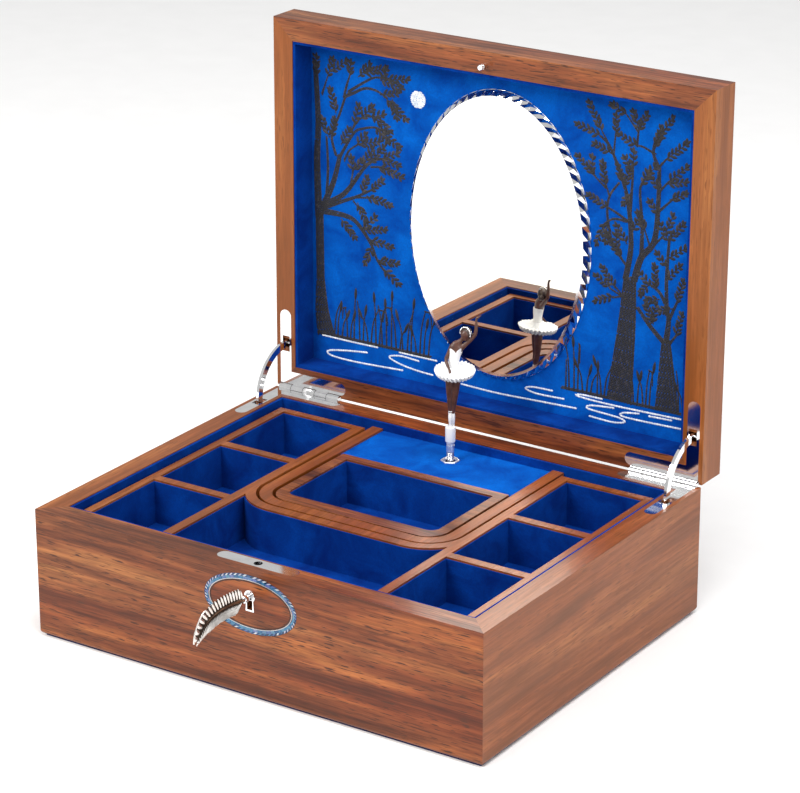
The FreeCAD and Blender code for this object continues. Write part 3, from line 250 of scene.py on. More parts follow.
koa_across = koa("koa_across", "X")
koa_deep = koa("koa_deep", "Y", 0.38, (0.31, 0.0, 0.17))
koa_standing = koa("koa_standing", "Z", 0.5, (0.05, 0.43, 0.0))
koa_inlay = koa("koa_inlay", "X", 0.0, (0.0, 0.77, 0.3))
print("koa in", [m.name for m in bpy.data.materials if m.name.startswith("koa")])

# %% [markdown]
# ## Suede
# Suede is split leather with a brushed nap. The nap lies in different directions, so the colour
# clouds between a lighter and a darker blue, and it glows a little where it is seen edge-on. That
# edge glow is the shader's sheen. A fine bump stands for the fibres.

# %% Suede recipe


def suede(name, dark, light, glow):
    finish, tree, shader = new_finish(name)
    place = own_place(tree)
    clouds = speckle(tree, place, 42, 4, 0.6, 0.6)
    nap = speckle(tree, place, 900, 3, 0.7)
    brushed = shades(tree, clouds, (0.32, dark), (0.66, light))
    fibrous = over(tree, 0.55, brushed, (1, 1, 1), "MULTIPLY")
    tree.links.new(shades(tree, nap, (0.3, 0.7), (0.7, 1.2)), fibrous.node.inputs[7])
    tree.links.new(fibrous, shader.inputs["Base Color"])
    tree.links.new(shades(tree, nap, (0.3, 0.85), (0.7, 1.0)), shader.inputs["Roughness"])
    shader.inputs["Specular IOR Level"].default_value = 0.05
    shader.inputs["Sheen Weight"].default_value = 0.08
    shader.inputs["Sheen Roughness"].default_value = 0.45
    shader.inputs["Sheen Tint"].default_value = (*glow, 1)
    relief(tree, shader, nap, 0.35, 0.0003)
    return finish


blue_suede = suede("blue_suede", (0.0004, 0.046, 0.29), (0.0008, 0.105, 0.49), (0.05, 0.35, 1.0))
# The same blue suede made darker: painted shade for the cups and the inner walls of lid and case, which sit
# in shade.
painted_shade_suede = suede("painted_shade_suede", (0.0002, 0.016, 0.145), (0.0004, 0.042, 0.27), (0.05, 0.3, 1.0))
navy_suede = suede("navy_suede", (0.004, 0.008, 0.05), (0.012, 0.022, 0.11), (0.1, 0.15, 0.5))
print("suede", blue_suede.name, painted_shade_suede.name, navy_suede.name)

# %% [markdown]
# ## Metals and mirror
# A polished metal has almost no colour of its own: it shows the room. What tells chrome from
# turned steel or brass is how sharp that picture is and which way the fine scratches run.

# %% Metal recipe


def metal(name, colour, dull, polish, scratch=0.0, squeeze=(1, 1, 1)):
    finish, tree, shader = new_finish(name)
    place = own_place(tree, squeeze)
    film = speckle(tree, place, 160, 3, 0.6)
    tree.links.new(shades(tree, film, (0.3, dull), (0.7, colour)), shader.inputs["Base Color"])
    lines = speckle(tree, place, 1800, 2, 0.5)
    tree.links.new(
        shades(tree, lines, (0.3, polish), (0.75, polish * 2.2)), shader.inputs["Roughness"]
    )
    shader.inputs["Metallic"].default_value = 1.0
    if scratch:
        relief(tree, shader, lines, scratch, 0.00005)
    return finish


chrome = metal("chrome", (0.95, 0.95, 0.95), (0.84, 0.84, 0.85), 0.05)
turned_steel = metal("turned_steel", (0.68, 0.68, 0.70), (0.5, 0.5, 0.52), 0.22, 0.2, (1, 1, 0.1))
turned_brass = metal("turned_brass", (0.83, 0.62, 0.27), (0.62, 0.42, 0.16), 0.2, 0.2, (0.1, 1, 1))
painted_iron = metal("painted_iron", (0.20, 0.20, 0.21), (0.12, 0.12, 0.13), 0.4, 0.5)
mirror_silver = metal("mirror_silver", (0.925, 0.90, 0.82), (0.915, 0.89, 0.81), 0.008)
satin_chrome = metal("satin_chrome", (0.93, 0.93, 0.94), (0.80, 0.80, 0.82), 0.3)
dull_silver = metal("dull_silver", (0.60, 0.60, 0.60), (0.40, 0.40, 0.41), 0.3)
print("metals", chrome.name, turned_steel.name, turned_brass.name, mirror_silver.name)

# %% Plain plywood for boards that the suede hides
plain_ply, ply_tree, ply_shader = new_finish("plain_ply")
ply_place = own_place(ply_tree, (0.05, 1, 1))
ply_lines = speckle(ply_tree, ply_place, 260, 3, 0.6)
ply_tree.links.new(
    shades(ply_tree, ply_lines, (0.3, (0.40, 0.24, 0.12)), (0.7, (0.60, 0.42, 0.25))),
    ply_shader.inputs["Base Color"],
)
ply_tree.links.new(shades(ply_tree, ply_lines, (0.3, 0.5), (0.7, 0.7)), ply_shader.inputs["Roughness"])
relief(ply_tree, ply_shader, ply_lines, 0.2, 0.0002)
print("plywood", plain_ply.name)

# %% Floor of the room
paper, paper_tree, paper_shader = new_finish("white_paper")
paper_grain = speckle(paper_tree, own_place(paper_tree), 30, 2)
paper_tree.links.new(
    shades(paper_tree, paper_grain, (0.3, 0.93), (0.7, 0.95)), paper_shader.inputs["Base Color"]
)
paper_shader.inputs["Roughness"].default_value = 0.9
bpy.ops.mesh.primitive_plane_add(size=12, location=(0, 0, 0))
floor = bpy.context.object
floor.name = "floor"
floor.data.materials.append(paper)
print("floor", tuple(floor.dimensions))


# %% [markdown]
# ## Dressing the CAD parts
# The boards, hinges, lock and movement already have their true shape, so they stay as they are
# and only get a finish. A bevel modifier rounds the edges that a hand plane would break, which
# gives the thin bright lines along the rims. The grain runs along each board.

# %% Finishes for the CAD nodes
BY_FINISH = {
    koa_across: ("base_front", "base_back", "lid_front", "lid_back", "lid_top_panel",
                 "stage_front", "inner_tray_frame"),
    koa_deep: ("base_left", "base_right", "outer_tray_frame", "stage_wall", "outer_tray_cove",
               "outer_tray_dividers", "tray_rails"),
    koa_standing: ("lid_left", "lid_right"),
    koa_inlay: ("inlay_field",),
    plain_ply: ("base_bottom", "stage_board", "key_well", "outer_tray_bottom",
                "inner_tray_bottom"),
    chrome: ("hinge_base_leaf_left", "hinge_base_leaf_right", "hinge_lid_leaf_left",
             "hinge_lid_leaf_right", "quadrant_arm_left", "quadrant_arm_right", "lock_plate",
             "keyhole_escutcheon", "lid_catch_pin", "spindle_collar", "base_screws",
             "lid_screws"),
    turned_steel: ("lock_case", "lock_core", "lock_bolt", "spindle", "music_comb",
                   "winding_key", "spring_knuckle"),
    turned_brass: ("spring_barrel", "music_cylinder", "governor_wheel", "governor_fly"),
    painted_iron: ("movement_bedplate",),
    mirror_silver: ("mirror_glass",),
}
ROUNDED = {koa_across: 0.5, koa_deep: 0.45, koa_standing: 0.5, chrome: 0.2, turned_steel: 0.08}


def dress(node_name, finish):
    holder = bpy.data.objects[node_name]
    holder.data.materials.clear()
    holder.data.materials.append(finish)
    return holder


def break_edges(holder, width, steps=2):
    bevel = holder.modifiers.new("broken_edges", "BEVEL")
    bevel.width = width
    bevel.segments = steps
    bevel.limit_method = "ANGLE"
    bevel.angle_limit = math.radians(40)
    bevel.harden_normals = True


for finish, node_names in BY_FINISH.items():
    for node_name in node_names:
        holder = dress(node_name, finish)
        if finish in ROUNDED:
            break_edges(holder, ROUNDED[finish] * MM)
print("dressed", sum(len(names) for names in BY_FINISH.values()), "CAD nodes")

# %% [markdown]
# ## Suede linings
# Each lining is card wrapped in suede, so its free edge is a soft roll and not a sharp corner.
# The pieces are made as copies of the lining's plain shape with a rolled edge, and take the place
# of the plain ones. They are glued down all over, so nothing here hangs or sags.

# %% Suede linings and pads
LINED = {
    "base_lining": ("case_suede", "base", 0.6), "lid_lining": ("lid_suede", "lid", 0.6),
    "lid_suede_panel": ("panel_suede", "lid", 0.5), "stage_suede": ("stage_cloth", "base", 0.35),
    "outer_tray_cups": ("outer_tray_suede", "outer_tray", 0.35),
    "inner_tray_cup": ("inner_tray_suede", "inner_tray", 0.35),
    "base_pad": ("foot_pad", "base", 0.4),
}


def rolled_cover(node_name, piece_name, body, roll, finish):
    cover = bpy.data.objects.new(piece_name, bpy.data.objects[node_name].data.copy())
    bpy.context.collection.objects.link(cover)
    cover.data.materials.clear()
    cover.data.materials.append(finish)
    break_edges(cover, roll * MM, 3)
    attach(cover, body)
    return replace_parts(cover, node_name)


for node_name, (piece_name, body, roll) in LINED.items():
    # The lid panel and the stage take the lit blue suede; the other linings take its darker copy, which is
    # painted shade.
    lit = node_name in ("lid_suede_panel", "stage_suede")
    finish = navy_suede if node_name == "base_pad" else blue_suede if lit else painted_shade_suede
    rolled_cover(node_name, piece_name, body, roll, finish)
print("suede pieces", [names[0] for names in LINED.values()])

# %% [markdown]
# ## Embroidery on the lid
# The lid panel shows a marsh at night: two groups of trees and reeds in black thread, and the
# moon and the water in white. A painted pattern would look printed. Real embroidery stands up
# from the cloth and every stitch catches the light, so each stitch here is a small raised lens
# of mesh, laid end to end along the drawn lines. Places are given in millimetres on the lid:
# across from its middle, and up from its hinge edge.

# %% Places on the lid
LID_LEAN = math.radians(frame["record"]["behaviour"]["joints"][0]["range_deg"][1] - 90)
LID_UP = Vector((0, math.sin(LID_LEAN), math.cos(LID_LEAN)))
LID_OUT = Vector((0, -math.cos(LID_LEAN), math.sin(LID_LEAN)))
PANEL_ABOVE_HINGE_EDGE = 15.3
panel_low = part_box("lid_suede_panel")[0]
panel_face = Vector((0, panel_low[1], panel_low[2]))


def lid_place(across, up, out=0.0):
    """Point on the embroidered face of the open lid, from millimetres."""
    rise = (up - PANEL_ABOVE_HINGE_EDGE) * MM
    base = Vector((across * MM, panel_face.y, panel_face.z))
    return base + LID_UP * rise + LID_OUT * (out * MM)


print("panel corner", lid_place(-134.7, 15.3), "lean", round(math.degrees(LID_LEAN), 2))

# %% [markdown]
# ## Thread
# Black and white cotton thread, slightly shiny. Every stitch carries its own shade, a number
# stored on its faces, so that neighbouring stitches differ as twisted threads do.

# %% Thread materials


def thread(name, low, middle, high, dull=0.55):
    finish, tree, shader = new_finish(name)
    shade = put(tree, "Attribute", attribute_name="shade").outputs["Fac"]
    fibres = speckle(tree, own_place(tree), 2600, 2, 0.6)
    each = shades(tree, shade, (0.0, low), (0.7, middle), (1.0, high))
    twisted = over(tree, 0.5, each, (1, 1, 1), "MULTIPLY")
    tree.links.new(shades(tree, fibres, (0.35, 0.5), (0.7, 1.3)), twisted.node.inputs[7])
    tree.links.new(twisted, shader.inputs["Base Color"])
    tree.links.new(
        shades(tree, fibres, (0.3, dull), (0.7, dull + 0.2)), shader.inputs["Roughness"]
    )
    shader.inputs["Sheen Weight"].default_value = 0.1
    relief(tree, shader, fibres, 0.4, 0.0002)
    return finish


black_thread = thread("black_thread", (0.004, 0.004, 0.007), (0.008, 0.008, 0.012),
                      (0.035, 0.030, 0.032))
white_thread = thread("white_thread", (0.62, 0.68, 0.78), (0.85, 0.88, 0.92), (0.98, 0.98, 0.98))
print("threads", black_thread.name, white_thread.name)

# %% One stitch, and runs of stitches
STITCH_RIM = ((-0.5, 0), (-0.3, 0.36), (0, 0.5), (0.3, 0.36), (0.5, 0), (0.3, -0.36), (0, -0.5),
              (-0.3, -0.36))
STITCH_RIDGE = ((-0.28, 0.8), (0.0, 1.0), (0.28, 0.8))
STITCH_FACES = ((0, 8, 1), (1, 8, 9, 2), (2, 9, 10, 3), (3, 10, 4), (0, 7, 8), (7, 6, 9, 8),
                (6, 5, 10, 9), (5, 4, 10))
sewing_dice = random.Random(7)


def new_work():
    return {"points": [], "faces": [], "shade": []}


def stitch(work, across, up, turn, length, width, height, lay=lid_place):
    """One raised lens of thread. turn is its direction in radians, sizes are in millimetres."""
    first = len(work["points"])
    c, s = math.cos(turn), math.sin(turn)
    spots = [(x, y, 0.0) for x, y in STITCH_RIM] + [(x, 0.0, h) for x, h in STITCH_RIDGE]
    for x, y, h in spots:
        x, y = x * length, y * width
        work["points"].append(lay(across + c * x - s * y, up + s * x + c * y, 0.05 + h * height))
    shade = sewing_dice.random() ** 2
    for face in STITCH_FACES:
        work["faces"].append([first + i for i in face])
        work["shade"].append(shade)


def smooth_line(points, step):
    """Even places along a smooth curve through the points, each with its direction."""
    padded = [points[0], *points, points[-1]]
    dense = []
    for i in range(1, len(padded) - 2):
        a, b, c, d = (Vector(p) for p in padded[i - 1:i + 3])
        for k in range(12):
            t = k / 12
            dense.append(0.5 * (2 * b + (c - a) * t + (2 * a - 5 * b + 4 * c - d) * t * t
                                + (3 * b - 3 * c + d - a) * t ** 3))
    dense.append(Vector(points[-1]))
    places, walked, due = [], 0.0, 0.0
    for a, b in zip(dense, dense[1:]):
        gap = (b - a).length
        while gap > 0 and due <= walked + gap:
            way = (b - a) / gap
            places.append((a + way * (due - walked), math.atan2(way.y, way.x)))
            due += step
        walked += gap
    return places


def sewn_run(work, points, wide=1.0, narrow=None, length=2.2, thickness=1.0):
    """Rows of stitches side by side that follow a line and taper from wide to narrow."""
    narrow = wide if narrow is None else narrow
    places = smooth_line(points, length * 0.72)
    for k, (place, turn) in enumerate(places):
        width = wide + (narrow - wide) * k / max(1, len(places) - 1)
        rows = max(1, round(width / thickness))
        for row in range(rows):
            aside = (row - (rows - 1) / 2) * width / rows
            shift = (row % 2) * length * 0.35
            stitch(
                work,
                place.x - math.sin(turn) * aside + math.cos(turn) * shift,
                place.y + math.cos(turn) * aside + math.sin(turn) * shift,
                turn + sewing_dice.uniform(-0.12, 0.12),
                length, width / rows * 1.15, 0.45,
            )


def leafy_spray(work, root, tip, leaf=5.2):
    """Twig with pointed leaves on both sides and one at its tip."""
    root, tip = Vector(root), Vector(tip)
    way = tip - root
    turn = math.atan2(way.y, way.x)
    sewn_run(work, [root, tip], 0.8, 0.6)
    pairs = max(2, round(way.length / 3.1))
    for k in range(pairs):
        share = (k + 0.35) / pairs
        for side in (1, -1):
            lean = turn + side * sewing_dice.uniform(0.55, 0.85)
            size = leaf * sewing_dice.uniform(0.8, 1.1) * (1.0 - 0.25 * share)
            spot = root + way * min(0.97, share + 0.04 * side)
            stitch(work, spot.x + math.cos(lean) * size * 0.5,
                   spot.y + math.sin(lean) * size * 0.5, lean, size, 2.0, 0.6)
    stitch(work, tip.x, tip.y, turn, leaf, 2.0, 0.6)


def sewn_piece(name, work, finish):
    mesh = bpy.data.meshes.new(name)
    mesh.from_pydata([tuple(p) for p in work["points"]], [], work["faces"])
    layer = mesh.attributes.new("shade", "FLOAT", "FACE")
    layer.data.foreach_set("value", work["shade"])
    mesh.polygons.foreach_set("use_smooth", [True] * len(mesh.polygons))
    mesh.materials.append(finish)
    piece = bpy.data.objects.new(name, mesh)
    bpy.context.collection.objects.link(piece)
    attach(piece, "lid")
    print(name, len(work["faces"]) // len(STITCH_FACES), "stitches")
    return piece


# %% [markdown]
# ## The trees
# A tree is drawn as an embroiderer would draw it: a trunk of many rows, limbs that taper from
# it, and sprays of leaves at the ends. Each limb is a line with its width at both ends, and each
# spray runs from its root to its tip.

# %% Trees at the left
LEFT_LIMBS = (
    (((-125, 33), (-128, 48), (-129, 70)), 13, 6), (((-129, 70), (-129.5, 110)), 6, 6),
    (((-130, 108), (-131, 144), (-130, 169), (-132, 205)), 5.5, 3.5),
    (((-124, 124), (-123, 141), (-124, 160)), 2.2, 1.5),
    (((-127, 115), (-119, 132), (-114, 150)), 4.5, 3),
    (((-117, 149), (-120, 161), (-114, 176), (-110, 187)), 2, 1.6),
    (((-110, 187), (-104, 190), (-96, 194), (-88, 194), (-80, 191)), 2.2, 1.2),
    (((-111, 186), (-109, 194), (-105, 205)), 2, 1),
    (((-108, 190), (-96, 198), (-88, 202), (-79, 202)), 2, 1.2),
    (((-114, 149), (-104, 165), (-97, 169), (-88, 171), (-81, 169)), 2.2, 1.2),
    (((-111, 147), (-107, 154), (-100, 159)), 1.8, 1), (((-106, 166), (-99, 175), (-89, 178)), 1.5, 1),
    (((-127, 116), (-111, 126), (-96, 145), (-88, 151), (-78, 153)), 4, 1.4),
    (((-91, 146), (-84, 147), (-78, 146)), 1.4, 1), (((-106, 134), (-104, 144)), 1.4, 1),
    (((-127, 114), (-112, 121), (-101, 126), (-87, 134)), 3, 1.2),
    (((-102, 125), (-88, 127)), 1.4, 1), (((-104, 122), (-99, 117)), 1.2, 1),
    (((-128, 112), (-111, 112), (-102, 109), (-92, 98), (-87, 88), (-80, 80)), 4, 1.3),
    (((-127, 186), (-123, 197)), 1.6, 1),
)
LEFT_SPRAYS = (
    ((-131, 197), (-131, 209)), ((-123, 197), (-119, 209)), ((-120, 201), (-109, 209)),
    ((-107, 200), (-106, 209)), ((-100, 201), (-92, 209)), ((-96, 204), (-82, 208)),
    ((-84, 201), (-80, 209)), ((-80, 202), (-65, 204)), ((-84, 201), (-69, 198)),
    ((-84, 192), (-72, 195)), ((-80, 190), (-66, 179)), ((-76, 190), (-73, 179)),
    ((-117, 176), (-121, 190)), ((-122, 160), (-127, 171)), ((-120, 160), (-118, 172)),
    ((-104, 170), (-100, 183)), ((-99, 175), (-90, 184)), ((-92, 177), (-82, 180)),
    ((-90, 178), (-77, 170)), ((-86, 171), (-71, 161)), ((-88, 171), (-79, 163)),
    ((-113, 157), (-107, 167)), ((-102, 158), (-95, 166)), ((-100, 159), (-85, 163)),
    ((-97, 146), (-90, 158)), ((-92, 149), (-82, 160)), ((-84, 152), (-72, 158)),
    ((-84, 152), (-71, 150)), ((-86, 147), (-69, 143)), ((-105, 141), (-106, 150)),
    ((-104, 142), (-98, 149)), ((-98, 128), (-94, 139)), ((-92, 131), (-83, 139)),
    ((-94, 127), (-77, 124)), ((-101, 121), (-95, 111)), ((-113, 109), (-103, 99)),
    ((-98, 106), (-88, 115)), ((-98, 105), (-81, 108)), ((-92, 100), (-76, 98)),
    ((-91, 95), (-96, 84)), ((-86, 88), (-72, 88)), ((-82, 83), (-71, 75)),
)
left_trees = new_work()
for line, wide, narrow in LEFT_LIMBS:
    sewn_run(left_trees, line, wide, narrow)
for root, tip in LEFT_SPRAYS:
    leafy_spray(left_trees, root, tip)
sewn_piece("left_trees", left_trees, black_thread)

# %% Trees at the right
RIGHT_LIMBS = (
    (((84, 33), (86, 57), (88, 83), (89, 110)), 17, 8.5), (((86, 108), (89, 127), (88, 145)), 4, 3),
    (((88, 145), (85, 160), (79, 175), (73, 186), (67, 191)), 3, 1.5),
    (((74, 185), (68, 194)), 1.6, 1), (((76, 181), (77, 194)), 1.5, 1),
    (((92, 109), (96, 123), (104, 134), (106, 155), (106, 178)), 4.5, 2.5),
    (((106, 178), (102, 186), (103, 195)), 2.5, 1.5), (((106, 179), (111, 185)), 1.6, 1.2),
    (((103, 186), (95, 189), (90, 189)), 1.6, 1.2), (((91, 189), (92, 199)), 1.8, 1.2),
    (((91, 198), (84, 206)), 1.4, 1), (((96, 123), (96, 142), (94, 163), (97, 171)), 3, 1.3),
    (((88, 150), (89, 172), (89, 178)), 2.2, 1.2), (((87, 143), (79, 147), (71, 150)), 1.8, 1.2),
    (((86, 143), (77, 143), (70, 138)), 1.8, 1.2), (((77, 126), (73, 144), (74, 156), (80, 165)), 1.8, 1.4),
    (((74, 156), (71, 164)), 1.4, 1), (((71, 161), (62, 168)), 1.4, 1),
    (((86, 96), (79, 103)), 1.8, 1), (((85, 97), (75, 101)), 1.6, 1), (((86, 98), (77, 95)), 1.5, 1),
    (((87, 116), (80, 123)), 1.8, 1.2), (((116, 33), (115, 56), (114, 76)), 16, 6),
    (((113, 74), (103, 83), (94, 93)), 3.2, 2.4), (((103, 83), (105, 90)), 1.5, 1),
    (((114, 75), (115, 91), (109, 104), (99, 109)), 4, 1.4),
    (((114, 92), (113, 113), (114, 139)), 2.8, 1.8), (((116, 90), (121, 102)), 2.2, 1.4),
    (((116, 74), (121, 81)), 2, 1.2), (((106, 152), (116, 162)), 1.8, 1.2),
    (((105, 133), (112, 141)), 1.6, 1), (((101, 132), (97, 142)), 1.4, 1),
    (((107, 165), (113, 172)), 1.6, 1.2),
)
RIGHT_SPRAYS = (
    ((67, 191), (51, 196)), ((68, 194), (59, 210)), ((77, 194), (77, 205)), ((74, 182), (63, 186)),
    ((83, 165), (79, 176)), ((84, 164), (87, 175)), ((91, 189), (79, 194)), ((92, 198), (88, 209)),
    ((92, 198), (97, 209)), ((84, 206), (74, 211)), ((103, 193), (114, 209)), ((103, 190), (107, 202)),
    ((110, 184), (124, 196)), ((112, 171), (124, 182)), ((112, 170), (124, 173)),
    ((114, 161), (124, 166)), ((97, 171), (104, 179)), ((95, 166), (99, 175)), ((89, 176), (89, 186)),
    ((89, 174), (83, 181)), ((73, 149), (60, 155)), ((71, 139), (66, 126)), ((73, 140), (72, 128)),
    ((71, 162), (69, 176)), ((64, 167), (52, 177)), ((62, 168), (62, 178)), ((90, 138), (94, 148)),
    ((86, 130), (79, 140)), ((83, 121), (73, 132)), ((80, 122), (79, 134)), ((79, 102), (70, 113)),
    ((76, 101), (66, 107)), ((78, 96), (66, 91)), ((104, 85), (107, 97)), ((105, 85), (100, 95)),
    ((103, 107), (95, 114)), ((106, 106), (105, 120)), ((101, 107), (96, 101)),
    ((108, 100), (100, 98)), ((114, 137), (123, 148)), ((114, 135), (107, 146)),
    ((114, 126), (125, 134)), ((113, 113), (122, 123)), ((113, 120), (106, 128)),
    ((120, 100), (124, 114)), ((120, 80), (124, 94)), ((111, 140), (116, 152)), ((98, 140), (93, 150)),
    ((106, 150), (100, 158)), ((107, 165), (101, 172)), ((88, 160), (83, 153)), ((117, 96), (109, 93)),
)
right_trees = new_work()
for line, wide, narrow in RIGHT_LIMBS:
    sewn_run(right_trees, line, wide, narrow)
for root, tip in RIGHT_SPRAYS:
    leafy_spray(right_trees, root, tip, 4.8)
sewn_piece("right_trees", right_trees, black_thread)

# %% [markdown]
# ## Reeds and bank
# Cat-tail reeds stand between the trees and the mirror: thin stems with a thick seed head, and
# long blades that bend over. A seeded dice varies them, so they look sewn by hand but come out
# the same every time.

# %% Reeds
reeds = new_work()
BANK = 33
for low, high, count in ((-120, -48, 24), (46, 76, 10), (93, 106, 5), (122, 128, 2)):
    for k in range(count):
        foot = low + (high - low) * (k + sewing_dice.uniform(0.2, 0.8)) / count
        tall = sewing_dice.uniform(14, 34)
        lean = sewing_dice.uniform(-6, 6)
        if foot + lean > 129:
            lean = -lean
        top = (foot + lean, BANK + tall)
        sewn_run(reeds, [(foot, BANK), (foot + lean * 0.3, BANK + tall * 0.6), top], 1.3, 0.8)
        if k % 3:
            stitch(reeds, top[0], top[1], math.atan2(tall, lean * 1.4), 8.5, 2.1, 0.8)
        elif k % 2:
            drop = foot + lean * 2.2
            sewn_run(reeds, [top, (drop - lean * 0.3, BANK + tall * 0.95),
                             (drop, BANK + tall * 0.6)], 1.1, 0.8)
for start, end in ((-131, -48), (45, 129)):
    sewn_run(reeds, [(start, BANK), (end, BANK)], 2.0)
sewn_piece("reeds", reeds, black_thread)

# %% [markdown]
# ## Moon and water
# The moon is filled with short white stitches, and the ripples are single lines of chain stitch
# with rounded turns.

# %% Moon and water
WATER = (
    ((-127, 31.5), (-105, 31.3), (-86, 31.5)), ((-70, 31.5), (-43, 31.5)),
    ((-95, 26.5), (-110, 24.7), (-122, 22.5), (-124, 20.5), (-118, 19), (-100, 18.8), (-68, 20.3)),
    ((-57, 28.7), (-70, 29.3), (-78, 27), (-70, 24), (-58, 22.3), (-46, 21.7)),
    ((-25, 20.3), (0, 19.8), (30, 20.8), (56, 21.7)),
    ((38, 29.3), (25, 28.9), (20, 27), (28, 25.3), (47, 25.8)),
    ((72, 31.3), (58, 31), (57, 29.6), (80, 28.9), (126, 29.7)),
    ((80, 27.3), (65, 25.6), (64, 23.2), (84, 22), (88, 20), (80, 18.3), (64, 18.8)),
    ((97, 27.3), (87, 25.6), (89, 23.2), (126, 23.8)), ((105, 27.3), (120, 27.8)),
)
MOON = (-57.8, 193.0)
MOON_RADIUS = 5.2
water = new_work()
for line in WATER:
    sewn_run(water, line, 1.15, length=2.4)
for row in range(-4, 5):
    half = math.sqrt(MOON_RADIUS ** 2 - (row * 1.12) ** 2)
    count = max(1, round(2 * half / 2.2))
    for k in range(count):
        offset = -half + (k + 0.5) * 2 * half / count
        stitch(water, MOON[0] + offset, MOON[1] + row * 1.12, 0.0, 2 * half / count * 1.3, 1.5, 0.5)
sewn_piece("moon_and_water", water, white_thread)

# %% [markdown]
# ## Mirror edge
# The mirror is held by a silver rim that is cut all round into small hollows, so it glitters in
# bright and dark flecks. Smooth shading would hide the cuts. The ring is therefore built with
# flat facets: each hollow has two faces that lean towards each other.

# %% Cut mirror rim
CUTS = 62
mirror_low, mirror_high = (Vector(c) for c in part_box("mirror_edge"))
mirror_half_x = (mirror_high.x - mirror_low.x) / 2
mirror_half_up = (mirror_high.z - mirror_low.z) / 2
mirror_middle = PANEL_ABOVE_HINGE_EDGE + (
    ((mirror_low.z + mirror_high.z) / 2 - panel_face.z) / LID_UP.z / MM
)


def on_oval(turn, inset, out):
    """Point of the mirror's oval, inset from its outer line and above the suede, in millimetres."""
    across = (mirror_half_x / MM - inset) * math.cos(turn)
    up = (mirror_half_up / MM - inset) * math.sin(turn)
    return lid_place(across, mirror_middle + up, out)


def cut_rim():
    points, faces = [], []
    rings = ((5.0, 3.95, 0.0), (3.4, 4.0, 0.0), (0.9, 2.4, 1.5), (0.1, 0.8, 0.7), (0.1, 0.05, 0.0))
    steps = 2 * CUTS
    for k in range(steps):
        turn = 2 * math.pi * k / steps
        hollow = k % 2
        for inset, out, bite in rings:
            points.append(on_oval(turn, inset + 0.5 * bite * hollow, max(0.05, out - bite * hollow)))
    rows = len(rings)
    for k in range(steps):
        a, b = k * rows, (k + 1) % steps * rows
        faces += [[a + r, b + r, b + r + 1, a + r + 1][::-1] for r in range(rows - 1)]
    mesh = bpy.data.meshes.new("cut_mirror_rim")
    mesh.from_pydata([tuple(p) for p in points], [], faces)
    mesh.materials.append(chrome)
    rim = bpy.data.objects.new("cut_mirror_rim", mesh)
    bpy.context.collection.objects.link(rim)
    return rim


mirror_rim = cut_rim()
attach(mirror_rim, "lid")
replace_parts(mirror_rim, "mirror_edge")
print("mirror rim with", CUTS, "cuts, middle", round(mirror_middle, 1), "mm up the lid")


# %% [markdown]
# ## Pearl inlay
# Around the keyhole lies an oval ring of mother-of-pearl. It is cut from paua shell, which is
# teal and blue with dark veins, and the maker lays it as short chips, so the outer edge looks
# like a twisted rope of pale and dark wedges. Inside the ring run a bright silver line and a dark
# brown one. One smooth ring could not show the joints, so every chip is its own little slab with
# its own shade, and the two lines are thin raised bands.

# %% Shell and line materials


def shell_finish(name, *colours):
    finish, tree, shader = new_finish(name)
    shade = put(tree, "Attribute", attribute_name="shade").outputs["Fac"]
    veins = speckle(tree, own_place(tree), 420, 4, 0.65, 1.4)
    moved = put(tree, "Math", operation="MULTIPLY_ADD").outputs["Value"]
    tree.links.new(veins, moved.node.inputs[0])
    moved.node.inputs[1].default_value = 0.9
    tree.links.new(shade, moved.node.inputs[2])
    shifted = put(tree, "Math", operation="MULTIPLY").outputs["Value"]
    tree.links.new(moved, shifted.node.inputs[0])
    shifted.node.inputs[1].default_value = 0.55
    last = len(colours) - 1
    stops = [(0.12 + 0.76 * k / last, colour) for k, colour in enumerate(colours)]
    tree.links.new(shades(tree, shifted, *stops), shader.inputs["Base Color"])
    tree.links.new(shades(tree, veins, (0.3, 0.12), (0.7, 0.3)), shader.inputs["Roughness"])
    shader.inputs["Coat Weight"].default_value = 0.25
    shader.inputs["Coat Roughness"].default_value = 0.08
    shader.inputs["Specular IOR Level"].default_value = 0.4
    relief(tree, shader, veins, 0.2, 0.0001)
    return finish


paua_shell = shell_finish(
    "paua_shell", (0.006, 0.020, 0.08), (0.015, 0.075, 0.18), (0.035, 0.15, 0.27), (0.09, 0.21, 0.30),
    (0.07, 0.10, 0.30), (0.22, 0.28, 0.36),
)
dark_shell = shell_finish("dark_shell", (0.003, 0.006, 0.02), (0.01, 0.03, 0.08), (0.02, 0.06, 0.16))
pale_shell = shell_finish(
    "pale_shell", (0.14, 0.24, 0.36), (0.45, 0.40, 0.50), (0.50, 0.56, 0.60), (0.30, 0.22, 0.36)
)
brown_line = metal("brown_line", (0.075, 0.022, 0.010), (0.035, 0.010, 0.006), 0.5)
brown_line.node_tree.nodes["Principled BSDF"].inputs["Metallic"].default_value = 0.0
print("shell", paua_shell.name, dark_shell.name, pale_shell.name, brown_line.name)

# %% Ring of chips
CHIPS = 58
ROPE_WIDTH = 1.35 * MM
PROUD = 0.06 * MM
CHIP_LEAN = 0.55
LINE_WIDTH = 0.42 * MM
field_low, field_high = (Vector(c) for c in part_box("inlay_field"))
ring_low, ring_high = (Vector(c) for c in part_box("inlay_ring"))
ring_half_x = (ring_high.x - ring_low.x) / 2
ring_half_up = (ring_high.z - ring_low.z) / 2
field_half_up = (field_high.z - field_low.z) / 2
inlay_middle = (ring_low + ring_high) / 2
inlay_face = ring_low.y
chip_dice = random.Random(5)


def oval_spot(turn, inset, back):
    """Point of the inlay's outer oval, moved inward by inset and back into the wood."""
    return (
        inlay_middle.x + (ring_half_x - inset) * math.cos(turn),
        inlay_face + back,
        inlay_middle.z + (ring_half_up - inset) * math.sin(turn),
    )


def new_slabs():
    return {"points": [], "faces": [], "shade": [], "finish": []}


